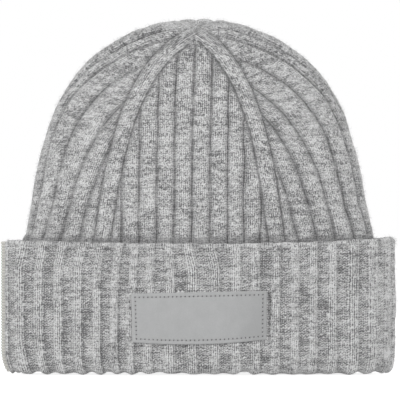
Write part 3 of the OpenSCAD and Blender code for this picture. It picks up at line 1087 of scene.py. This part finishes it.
def cuff_ribs(form, place, height):
    """The cuff's ribs at a place: how far up its side a point is, its stitches, its run and its light."""
    k = form.knit
    pitch = form.cuff_girth / k.ribs
    spot = form.cuff_point(place, np.full_like(height, form.sizes.cuff_h))
    on_front = smooth(-10 * MM, -30 * MM, spot[..., 1])
    spot[..., 2] = 0.3 * height
    wander = Ripples(11).at(spot, 9 * MM) * 0.5 * MM
    drawn = on_front * rib_lean(spot[..., 0], height)
    count = form.cuff_count(place) + (drawn + wander) / k.seen_pitch
    off = (np.mod(count + 0.5, 1) - 0.5) * pitch
    rib = 1 - smooth(k.cuff_rib, k.cuff_foot, np.abs(off))
    spot[..., 2] = height
    courses = height / k.course + 0.5 * Ripples(41).at(spot, 2.4 * MM)
    columns = (np.mod(count, 1) - 0.5) * pitch / k.purl_wale + 0.3 * Ripples(43).at(spot, 3 * MM)
    loops = knit_loops(off / k.wale, -courses) * rib + purl_loops(columns, courses) * (1 - rib)
    return rib, loops, count * pitch, cuff_light(k, spot, off, rib, courses, pitch)


def cuff_relief(form, place, height, rib, loops):
    """How far the knit stands off the form: ribs, stitches and a soft unevenness."""
    k = form.knit
    base = form.cuff_point(place, np.maximum(height, k.corner_h))
    swell = Ripples(13).layers(base, (21 * MM, 0.45 * MM), (6 * MM, 0.25 * MM))
    corner_low, corner_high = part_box("label_patch")
    out_x = np.maximum(corner_low[0] - base[..., 0], base[..., 0] - corner_high[0])
    out_z = np.maximum(corner_low[2] - height, height - corner_high[2])
    pressed = smooth(1 * MM, -2 * MM, np.maximum(out_x, out_z)) * (base[..., 1] < 0)
    rib = rib + 0.85 * pressed * (1 - rib)
    return -k.cuff_rise * (1 - rib) + k.stitch * (loops - 0.5) * (0.75 + 0.5 * rib) + swell


def plan_normal(form, place, height):
    """Level outward direction of the cuff, from the points a small step to each side."""
    side = 0.03
    along = unit(form.cuff_point(place + side, height) - form.cuff_point(place - side, height))
    return np.stack([along[..., 1], -along[..., 0], np.zeros(along.shape[:-1])], -1)


HALF_CUFF_COLUMNS = 560


class BEANIE_OT_cuff(Operator):
    """Knits the turned-up outer layer in a front and a back half, with the back of the knit outside"""

    bl_idname = "beanie.cuff"
    bl_label = "Cuff"

    def execute(self, context):
        form = HatForm()
        half = form.knit.ribs / 4
        self.half_cuff(form, "cuff_front_knit", -half, half)
        self.half_cuff(form, "cuff_back_knit", half, 3 * half)
        return {"FINISHED"}

    def half_cuff(self, form, name, start, end):
        """One half, from the fold up to the bound-off edge, where its ribs flatten."""
        s = form.sizes
        rows = 160
        places = np.linspace(start, end, HALF_CUFF_COLUMNS + 1)[None, :]
        part = np.linspace(0, 1, rows + 1)[:, None]
        top = form.cuff_top(places) - 1.4 * MM
        height = s.fold_h + (top - s.fold_h) * part
        rib, loops, across, light = cuff_ribs(form, places, height)
        near_top = smooth(2 * MM, 0, top - height)
        rib = rib + (0.7 - rib) * 0.6 * near_top
        out = cuff_relief(form, places, height, rib, loops)
        base = form.cuff_point(places, height)
        normal = plan_normal(form, places, height)
        skin = Skin()
        skin.sheet(
            base + normal * out[..., None],
            base - normal * s.knit_t,
            yarn=(across / MM, height / MM, 0),
            # A little painted light along the top, just under the bound-off edge.
            relief=(0.4 + 0.6 * rib, loops, light + 0.03 * near_top),
            lining_relief=(0.5, loops, rib),
        )
        made = skin.build(name, finish(cuff_wool), ["cuff"])


class BEANIE_OT_rim(Operator):
    """Turns the knit at the rim: the cuff's ribs run round it and leave its edge scalloped"""

    bl_idname = "beanie.rim"
    bl_label = "Rim fold"

    def execute(self, context):
        form = HatForm()
        k, s = form.knit, form.sizes
        columns, rows = 2 * HALF_CUFF_COLUMNS, 36
        places = form.all_round(columns, start=-k.ribs / 4)[None, :]
        angle = np.linspace(0, math.pi, rows + 1)[::-1, None]
        outer = form.cuff_point(places, s.fold_h)
        x_in, y_in = form.oval(s.rim_w - s.knit_t, s.rim_d - s.knit_t, form.turn(places, form.cuff_run))
        inner = np.stack([x_in, y_in, np.full(x_in.shape, s.fold_h)], -1)
        part = ((1 - np.cos(angle)) / 2)[..., None]
        base = outer + (inner - outer) * part
        base[..., 2] = s.fold_h * (1 - np.sin(angle))
        normal = plan_normal(form, places, s.fold_h) * np.cos(angle)[..., None]
        normal[..., 2] -= np.sin(angle)
        height = s.fold_h * (1 - 1.3 * angle)
        rib, loops, across, light = cuff_ribs(form, places, height)
        uneven = Ripples(19).at(base, 13 * MM)
        deeper = 0.8 + 0.3 * smooth(60 * MM, -100 * MM, base[..., 0]) + 0.6 * uneven
        scallop = 0.5 - 0.5 * np.cos(TAU * across / form.cuff_girth * k.ribs)
        lumps = Ripples(31).at(base, 4 * MM) * 0.35 * MM - 0.75 * MM
        turned = (k.cuff_rise * (1 - rib - deeper * scallop) + lumps) * np.sin(angle)
        out = cuff_relief(form, places, height, rib, loops) + turned
        face = base + normal * out[..., None]
        face[..., 2] = np.maximum(face[..., 2], 0)
        skin = Skin()
        skin.sheet(
            face,
            base - normal * 0.5 * s.fold_h,
            yarn=(across / MM, height / MM, 0),
            # Painted light: the knit is painted paler towards the bottom of the fold, where it turns under.
            relief=(0.4 + 0.6 * rib, loops, light + 0.7 * np.sin(angle) ** 2),
            ring=True,
        )
        made = skin.build("rim_fold_knit", finish(cuff_wool), ["rim_fold"])
        width = float(run_along((base + face) / 2, 0)[-1].mean())
        return {"FINISHED"}


class BEANIE_OT_cuff_edge(Operator):
    """Rolls the bound-off edge along the top of the cuff, as a chain of stitches"""

    bl_idname = "beanie.cuff_edge"
    bl_label = "Bound-off edge"

    def execute(self, context):
        form = HatForm()
        k, s = form.knit, form.sizes
        columns, sides = 1760, 24
        places = form.all_round(columns)[:, None]
        angle = np.linspace(0, TAU, sides, endpoint=False)[None, :]
        half_t = s.knit_t / 2 + 0.1 * MM
        top = form.cuff_top(places)
        middle = form.cuff_point(places, top - 1.5 * MM, inset=half_t)
        spot = middle * np.array([1, 1, 0])
        lump = Ripples(17).at(spot, 5 * MM) * 0.45 * MM + Ripples(29).at(spot, 2.2 * MM) * 0.35 * MM
        rib, loops, across, light = cuff_ribs(form, places, top - 1.4 * MM)
        link = TAU * round(form.cuff_girth / k.wale) * form.run_share(places)
        uneven_link = link + 4 * Ripples(23).at(spot, 7 * MM)
        chain = 0.06 * MM * (0.5 + 0.5 * np.cos(uneven_link + 1.2 * np.abs(np.sin(angle))))
        in_front = smooth(-0.2, 0.6, np.cos(angle))
        radial = half_t + chain - 0.3 * k.cuff_rise * (1 - rib) * in_front
        points = middle + plan_normal(form, places, s.cuff_h) * (radial * np.cos(angle))[..., None]
        points[..., 2] += (1.5 * MM + chain) * np.sin(angle) + lump * smooth(-1, 0.5, np.sin(angle))
        yarn = (across / MM, (top + 1.5 * MM * angle) / MM, 0)
        skin = Skin()
        numbers = skin.add(points, yarn, (0.55 + 0.45 * rib, 0.3 + 0.4 * loops, 0.26 + 0.5 * light))
        skin.quads(numbers, WHOLE_MAP, flip=True, wrap_rows=True, wrap_columns=True)
        skin.build("cuff_edge_knit", finish(cuff_wool), ["cuff_edge"])
        return {"FINISHED"}


def outer_knit(names, lowest):
    """Middle, direction and size of every face on the outside of some pieces."""
    found = []
    for name in names:
        faces = bpy.data.objects[name].data.polygons
        middle, normal, area = (np.zeros(len(faces) * n) for n in (3, 3, 1))
        faces.foreach_get("center", middle)
        faces.foreach_get("normal", normal)
        faces.foreach_get("area", area)
        found.append((middle.reshape(-1, 3), normal.reshape(-1, 3), area))
    middle, normal, area = (np.concatenate(part) for part in zip(*found))
    inside_hat = np.array([0, 0, 90 * MM])
    outward = ((middle - inside_hat) * normal).sum(1) > 0
    corner_low, corner_high = (np.array(c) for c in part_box("label_patch"))
    beside = 2 * MM
    within = (middle > corner_low - beside) & (middle < corner_high + beside)
    under_patch = within[:, 0] & within[:, 2] & (middle[:, 1] < 0)
    kept = outward & (middle[:, 2] > lowest) & ~under_patch
    return middle[kept], normal[kept], area[kept]


class BEANIE_OT_fuzz(Operator):
    """Raises short stray fibres off the wool of the crown and of the cuff"""

    bl_idname = "beanie.fuzz"
    bl_label = "Wool fuzz"

    def execute(self, context):
        s = context.scene.beanie_sizes
        crown = ["crown_front_knit", "crown_right_knit", "crown_back_knit", "crown_left_knit"]
        cuff = ["cuff_front_knit", "cuff_back_knit", "cuff_edge_knit", "rim_fold_knit"]
        self.fibres("crown_fuzz", crown, s.cuff_h + 2 * MM, 51, "crown_knit")
        self.fibres("cuff_fuzz", cuff, 2.5 * MM, 53, "cuff_knit")
        return {"FINISHED"}

    def fibres(self, name, pieces, lowest, seed, slot, number=9000, rings=4, sides=3):
        """Curved tapered fibres, rooted a little inside the knit."""
        middle, normal, area = outer_knit(pieces, lowest)
        thick, taper, rooted, bend = 0.07 * MM, 0.65, 0.2 * MM, 1.9
        random = np.random.default_rng(seed)
        chosen = random.choice(len(area), number, p=area / area.sum())
        root, up = middle[chosen][:, None], unit(normal[chosen])
        ahead = unit(np.cross(up, unit(random.normal(size=(number, 3)))))[:, None]
        aside = np.cross(up, ahead[:, 0])[:, None]
        up = up[:, None]
        reach, lift, curl = (
            random.uniform(least, most, number)[:, None, None] * MM
            for least, most in ((0.8, 2.6), (0.6, 1.9), (-0.8, 0.8))
        )
        part = np.linspace(0, 1, rings)[None, :, None]
        path = root + ahead * reach * part + up * (lift * np.sin(bend * part) - rooted)
        path = path + aside * curl * part**2
        turn = np.arange(sides) / sides * TAU
        ring = np.cos(turn)[:, None] * aside[:, None] + np.sin(turn)[:, None] * up[:, None]
        radius = thick * (1 - taper * part[..., None])
        tone = random.uniform(0.5, 1.2, number)[:, None, None]
        skin = Skin()
        numbers = skin.add(path[:, :, None] + radius * ring, (tone, tone, tone), (tone, tone, tone))
        self.lay_out(skin, numbers)
        skin.build(name, finish(stray_wool))

    def lay_out(self, skin, numbers):
        """Faces along and over the ends of each fibre, each fibre in its own cell of the map."""
        number, rings, sides = numbers.shape
        cells = math.ceil(math.sqrt(number))
        corner = np.stack(np.divmod(np.arange(number), cells), -1) / cells
        for k in range(sides):
            after = (k + 1) % sides
            faces = np.stack([numbers[:, :-1, k], numbers[:, :-1, after], numbers[:, 1:, after],
                              numbers[:, 1:, k]], -1)
            spots = np.zeros(faces.shape + (2,))
            for c, (du, dv) in enumerate(((0, 0), (1, 0), (1, 1), (0, 1))):
                spots[..., c, 0] = corner[:, None, 0] + 0.9 / cells * (k + du) / sides
                spots[..., c, 1] = corner[:, None, 1] + 0.8 / cells * (np.arange(rings - 1) + dv) / rings
            skin.faces.append(faces.reshape(-1, 4))
            skin.maps.append(spots.reshape(-1, 4, 2))
        for end, order in ((0, (2, 1, 0)), (rings - 1, (0, 1, 2))):
            skin.faces.append(numbers[:, end][:, order])
            triangle = np.array([(0.1, 0.85), (0.8, 0.85), (0.4, 0.95)]) / cells
            skin.maps.append(corner[:, None] + triangle)


class BEANIE_OT_seams(Operator):
    """Oversews the side seam: a pale ladder up the cuff, and a corded seam inside the hat"""

    bl_idname = "beanie.seams"
    bl_label = "Side seam"

    def execute(self, context):
        form = HatForm()
        self.outer_seam(form)
        self.inner_seam(form)
        return {"FINISHED"}

    def outer_seam(self, form):
        """The ladder of wraps at the end of the cuff."""
        rows, columns = 600, 20
        rung, half_w, foot = 1.7 * MM, 2.6 * MM, 1.5 * MM
        place = -form.knit.ribs / 4
        heights = np.linspace(foot, float(form.cuff_top(place)) - 0.4 * MM, rows + 1)[:, None]
        part = np.linspace(-1, 1, columns + 1)[None, ::-1]
        wrap = 0.5 + 0.5 * np.cos(TAU * heights / rung + 0.8 * part)
        wave = 0.35 * MM * np.sin(heights / (9 * MM)) + 0.2 * MM * np.sin(heights / (3.1 * MM))
        crest = (2.8 * MM + 0.6 * MM * wrap) * np.sqrt(1 - part**4) - 0.5 * MM
        base = form.cuff_point(place, heights)
        aside = part * half_w + wave - 0.55 * MM
        points = base + np.stack([-crest, aside, np.zeros(crest.shape)], -1)
        back = points.copy()
        back[..., 0] = base[..., 0] + 1.2 * MM
        skin = Skin()
        face = skin.add(points, (part * half_w / MM, heights / MM, 0), (wrap, wrap, 0.5))
        skin.close(face, skin.add(back[::LINING, ::LINING]))
        skin.build("cuff_seam_yarn", finish(seam_yarn), ["cuff_seam"])

    def inner_seam(self, form):
        """The cord of wraps inside the hat, from the fold nearly up to the gather."""
        s = form.sizes
        steps, sides, highest, wrap = 700, 14, 0.955, 2.6 * MM
        shares = np.linspace(form.band_share(s.fold_h), highest, steps)
        middle = form.point(-form.knit.ribs / 4, shares, inset=s.knit_t + 1.2 * MM)
        radius = 1.0 * MM + 0.22 * MM * np.cos(TAU * run_along(middle, 0) / wrap)
        skin = Skin()
        tube(skin, middle, radius, sides, (0.0, 0.0, 0.6, 1.0), up=(0.0, 1.0, 0.0), squash=1.5)
        skin.build("side_seam_yarn", finish(seam_yarn), ["side_seam"])


class PatchForm:
    """Where the patch lies: its own width and height directions on the front of the cuff."""

    def __init__(self, form):
        self.form = form
        corner_low, corner_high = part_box("label_patch")
        self.middle_x = (corner_low[0] + corner_high[0]) / 2
        self.middle_z = (corner_low[2] + corner_high[2]) / 2 + 0.35 * MM
        self.tilt = math.radians(1.2)
        self.width = 80 * MM
        self.tall = 30 * MM
        self.thick = 1.2 * MM
        self.seat = 0.2 * MM
        self.corner = 1.1 * MM
        self.inset = 2.4 * MM
        self.pitch = 2.5 * MM
        self.bow = 1.9 * MM
        self.lift = 1.7 * MM

    def front(self, x):
        """The tops of the cuff's front ribs."""
        s = self.form.sizes
        return -s.cuff_d * (1 - (np.abs(x) / s.cuff_w) ** s.squareness) ** (1 / s.squareness)

    def place(self, across, up, off):
        """A point of the patch: across and up from its middle, off the tops of the ribs.

        The patch is tilted, its lower edge is bowed, and its ends are drawn in a little.
        """
        low_part = np.clip(0.5 - up / self.tall, 0, 1)
        rightward, leftward = (smooth(0, side * self.width, across) for side in (0.5, -0.5))
        sag = low_part * (self.bow * (1 - (2 * across / self.width) ** 2) - self.lift)
        drawn = (1.25 + 0.35 * low_part) * MM * leftward - 0.9 * MM * low_part * rightward
        side, rise = across + drawn, up - sag
        x = self.middle_x + side * math.cos(self.tilt) - rise * math.sin(self.tilt)
        z = self.middle_z + side * math.sin(self.tilt) + rise * math.cos(self.tilt)
        over_ribs = 0.12 * MM * np.cos(TAU * x / (11.4 * MM)) + 0.1 * MM * np.sin(z / (5 * MM))
        return np.stack([x, self.front(x) - off - over_ribs, z], -1)

    def stitches(self):
        """Middle of each stitch and its direction: (across, up, along_across, along_up)."""
        line_w = self.width - 2 * self.inset
        line_h = self.tall - 2 * self.inset
        over, high_up = round(line_w / self.pitch), round(line_h / self.pitch)
        for side in (-1, 1):
            for i in range(over):
                yield (i + 0.5) * line_w / over - line_w / 2, side * line_h / 2, 1.0, 0.0
        for side in (-1, 1):
            for i in range(high_up):
                yield side * line_w / 2, (i + 0.5) * line_h / high_up - line_h / 2, 0.0, 1.0


class BEANIE_OT_patch(Operator):
    """Cuts the smooth bare patch, with soft edges, a sunk stitch line and its needle holes"""

    bl_idname = "beanie.patch"
    bl_label = "Patch"

    def execute(self, context):
        patch = PatchForm(HatForm())
        columns, rows = 320, 120
        across, up = self.rounded(patch, *np.meshgrid(
            np.linspace(-0.5, 0.5, columns + 1) * patch.width,
            np.linspace(-0.5, 0.5, rows + 1) * patch.tall,
        ))
        to_edge = np.minimum(patch.width / 2 - np.abs(across), patch.tall / 2 - np.abs(up))
        rounding = 0.45 * MM * (1 - shoulder(to_edge, 0.8 * MM))
        sunk = 0.06 * MM * hump(to_edge, patch.inset, 0.8 * MM)
        puff = 0.1 * MM * smooth(patch.inset, 3 * patch.inset, to_edge)
        holes = self.holes(across, up, patch)
        off = patch.seat + patch.thick - rounding - sunk - 0.45 * MM * holes + puff
        worn_edge = 1 - shoulder(to_edge, 1.2 * MM)
        # Painted shade: the patch is painted darker towards its right end, most at the lower right.
        low_part = 0.5 - up / patch.tall
        rightward = smooth(0.12 * patch.width, 0.5 * patch.width, across)
        light = 0.06 - 0.36 * rightward - 0.5 * low_part * rightward**2
        skin = Skin()
        skin.sheet(
            patch.place(across, up, off),
            patch.place(across, up, patch.seat),
            yarn=(across / MM, up / MM, 0),
            relief=(worn_edge, holes, light),
            lining_relief=(0, 0, 0),
        )
        made = skin.build("bare_patch", finish(patch_skin), ["label_patch"])
        return {"FINISHED"}

    def rounded(self, patch, across, up):
        """Draws the grid's corners in to an arc."""
        from_x, from_z = patch.width / 2 - patch.corner, patch.tall / 2 - patch.corner
        over_x, over_z = np.abs(across) - from_x, np.abs(up) - from_z
        in_corner = (over_x > 0) & (over_z > 0)
        factor = np.maximum(over_x, over_z) / np.maximum(np.hypot(over_x, over_z), 1e-9)
        new_x = np.where(in_corner, np.sign(across) * (from_x + over_x * factor), across)
        new_z = np.where(in_corner, np.sign(up) * (from_z + over_z * factor), up)
        return new_x, new_z

    def holes(self, across, up, patch):
        """A needle hole at each end of each stitch."""
        depth = np.zeros_like(across)
        half = patch.pitch / 2
        long, wide = 0.5 * MM, 0.38 * MM
        for x, z, along_x, along_z in patch.stitches():
            for end in (-half, half):
                off_x, off_z = across - x - end * along_x, up - z - end * along_z
                along = (off_x * along_x + off_z * along_z) / long
                aside = (off_x * along_z - off_z * along_x) / wide
                depth = np.maximum(depth, np.exp(-((along**2 + aside**2) ** 2)))
        return depth


class BEANIE_OT_stitches(Operator):
    """Sews the patch on: one strand for each stitch in front, and the lower thread behind"""

    bl_idname = "beanie.stitches"
    bl_label = "Patch stitches"

    def execute(self, context):
        patch = PatchForm(HatForm())
        front = patch.seat + patch.thick - 0.22 * MM
        behind = -patch.form.sizes.knit_t - 0.45 * MM
        self.strands(patch, "patch_stitches", "patch_thread", front, 1)
        self.strands(patch, "lower_stitches", "patch_bobbin_thread", behind, -1)
        return {"FINISHED"}

    def strands(self, patch, name, node, off, side, cells=10):
        """A strand for each stitch, arched to one side and dipped into its holes, each in its own cell."""
        steps, sides = 8, 8
        arch, dip, thick, taper = 0.2 * MM, 0.25 * MM, 0.24 * MM, 0.3
        part = np.linspace(-1, 1, steps + 1)
        reach = 0.36 * patch.pitch * part
        rise = off + side * (arch * (1 - part**2) - dip * part**4)
        radius = thick * (1 - taper * part**2)
        skin = Skin()
        for number, (x, z, along_x, along_z) in enumerate(patch.stitches()):
            path = patch.place(x + reach * along_x, z + reach * along_z, rise)
            row, column = divmod(number, cells)
            window = (column / cells, row / cells, (column + 0.9) / cells, (row + 0.9) / cells)
            tube(skin, path, radius, sides, window, up=(0.0, 1.0, 0.0))
        skin.build(name, finish(sewing_thread), [node])


class BEANIE_OT_care_label(Operator):
    """Folds the blank care label: two layers of tape from the seam to the fold at its free end"""

    bl_idname = "beanie.care_label"
    bl_label = "Care label"

    def execute(self, context):
        joint = next(j for j in frame["joints"] if j["name"] == "care_label_hinge")
        origin = np.array(joint["pos_m"])
        axis = unit(np.array(joint["axis"], float))
        out = unit(np.array([axis[2], 0.0, -axis[0]]))
        aside = np.array([0.0, 1.0, 0.0])
        reach, tall = 28 * MM, 22 * MM
        gap, tape_t, curled = 0.28 * MM, 0.16 * MM, 1.3 * MM
        ridge, ridge_pitch, ridge_rows = 0.02 * MM, 0.9 * MM, 24
        steps, bend_steps, rows = 48, 12, 88
        straight = np.linspace(0, reach - gap, steps)
        bend = np.linspace(0, math.pi, bend_steps + 1)[1:-1]
        along = np.r_[straight, reach - gap + gap * np.sin(bend), straight[::-1]]
        offset = np.r_[np.full(steps, -gap), -gap * np.cos(bend), np.full(steps, gap)]
        run = np.r_[0, np.cumsum(np.hypot(np.diff(along), np.diff(offset)))]
        part = np.linspace(0, 1, rows + 1)[:, None]
        curl = curled * (along / reach) ** 2 * np.sin(math.pi * (0.15 + 0.8 * part))
        slope_x, slope_y = np.gradient(along, run), np.gradient(offset, run)
        weave = ridge * np.cos(TAU * run / ridge_pitch) * np.cos(TAU * part * ridge_rows)
        columns = (len(run) - 1) // LINING * LINING + 1

        def layer(off):
            ahead = (along - off * slope_y)[:, None] * out
            sideways = (offset + curl + (off + weave) * slope_x)[..., None] * aside
            upward = (part * tall)[..., None] * axis
            return (origin + ahead + sideways + upward)[:, :columns]

        skin = Skin()
        yarn = (run[:columns] / MM, part * tall / MM, 0)
        skin.sheet(layer(-tape_t / 2), layer(tape_t / 2), yarn, relief=(0.5, 0.5, 0.5))
        made = skin.build("care_label_tape", finish(label_tape), ["care_label"], body=LABEL)
        return {"FINISHED"}


class BEANIE_OT_stage(Operator):
    """Sets the pale floor, the soft studio lights and the camera"""

    bl_idname = "beanie.stage"
    bl_label = "Stage"

    def execute(self, context):
        scene = context.scene
        self.floor(scene)
        self.world(scene)
        self.lights(scene)
        self.camera(scene)
        scene.view_settings.view_transform = "Standard"
        return {"FINISHED"}

    def floor(self, scene):
        """A wide matt floor that the camera and reflections see nearly white."""
        reach = 12.0
        mesh = bpy.data.meshes.new("floor")
        corners = [(-reach, -reach, 0), (reach, -reach, 0), (reach, reach, 0), (-reach, reach, 0)]
        mesh.from_pydata(corners, [], [(0, 1, 2, 3)])
        made = Finish("floor")
        brightness, seen_share = 1.75, 0.5
        matt = made.node("ShaderNodeBsdfDiffuse", values={"Color": opaque(scene.beanie_colours.floor)})
        glow = made.node("ShaderNodeEmission", values={"Color": WHITE, "Strength": brightness})
        mixed = made.node("ShaderNodeMixShader", values={0: made.seen() * seen_share, 1: matt, 2: glow})
        made.node("ShaderNodeOutputMaterial", values={"Surface": mixed})
        mesh.materials.append(made.material)
        floor = bpy.data.objects.new("floor", mesh)
        scene.collection.objects.link(floor)

    def world(self, scene):
        """Even soft light from all sides, in front of a white backdrop."""
        scene.world = bpy.data.worlds.new("studio")
        made = Nodes(scene.world)
        air = made.node("ShaderNodeBackground", values={"Color": WHITE, "Strength": 0.45})
        white = made.node("ShaderNodeBackground", values={"Color": WHITE, "Strength": 1.0})
        mixed = made.node("ShaderNodeMixShader", values={0: made.seen(), 1: air, 2: white})
        made.node("ShaderNodeOutputWorld", values={"Surface": mixed})

    def lights(self, scene):
        """Three broad soft lamps round the hat, each with its place, its size and its power."""
        aim = Vector((0, 0, 100 * MM))
        for name, place, size, power in (
            ("key", (-1.6, -1.6, 0.8), 1.0, 23.8),
            ("fill", (1.9, -1.25, 0.55), 1.6, 20.5),
            ("back", (0.6, 1.9, 1.0), 1.5, 12.0),
        ):
            lamp = bpy.data.lights.new(name, "AREA")
            lamp.size = size
            lamp.energy = power
            made = bpy.data.objects.new(name, lamp)
            made.location = place
            made.rotation_euler = (aim - Vector(place)).to_track_quat("-Z", "Y").to_euler()
            scene.collection.objects.link(made)

    def camera(self, scene):
        """A long lens straight in front, about level with the middle of the hat."""
        seen_width = 233.5 * MM
        distance, aside, level = 4.5, 0.9 * MM, 101.6 * MM
        data = bpy.data.cameras.new("camera")
        data.sensor_width = 36
        data.lens = data.sensor_width * distance / seen_width
        data.clip_end = 60
        made = bpy.data.objects.new("camera", data)
        made.location = (aside, -distance, level)
        made.rotation_euler = (math.pi / 2, 0, 0)
        scene.collection.objects.link(made)
        scene.camera = made


PIECES = (
    BEANIE_OT_crown,
    BEANIE_OT_gather,
    BEANIE_OT_head_band,
    BEANIE_OT_cuff,
    BEANIE_OT_rim,
    BEANIE_OT_cuff_edge,
    BEANIE_OT_fuzz,
    BEANIE_OT_seams,
    BEANIE_OT_patch,
    BEANIE_OT_stitches,
    BEANIE_OT_care_label,
    BEANIE_OT_stage,
)


class BEANIE_PT_pieces(Panel):
    """Lists the beanie's sizes and pieces"""

    bl_label = "Ribbed knit beanie"
    bl_space_type = "VIEW_3D"
    bl_region_type = "UI"
    bl_category = "Beanie"

    def draw(self, context):
        scene = context.scene
        for group in (scene.beanie_sizes, scene.beanie_knit, scene.beanie_colours):
            box = self.layout.box()
            for name in group.__annotations__:
                box.prop(group, name)
        for piece in PIECES:
            self.layout.operator(piece.bl_idname)


GROUPS = {"beanie_sizes": BeanieSizes, "beanie_knit": BeanieKnit, "beanie_colours": BeanieColours}
CLASSES = (*GROUPS.values(), *PIECES, BEANIE_PT_pieces)


def register():
    for made in CLASSES:
        bpy.utils.register_class(made)
    for name, group in GROUPS.items():
        setattr(bpy.types.Scene, name, PointerProperty(type=group))


def unregister():
    for name in GROUPS:
        delattr(bpy.types.Scene, name)
    for made in reversed(CLASSES):
        bpy.utils.unregister_class(made)


def main():
    register()
    for piece in PIECES:
        group, name = piece.bl_idname.split(".")
        getattr(getattr(bpy.ops, group), name)()


if __name__ == "__main__":
    main()
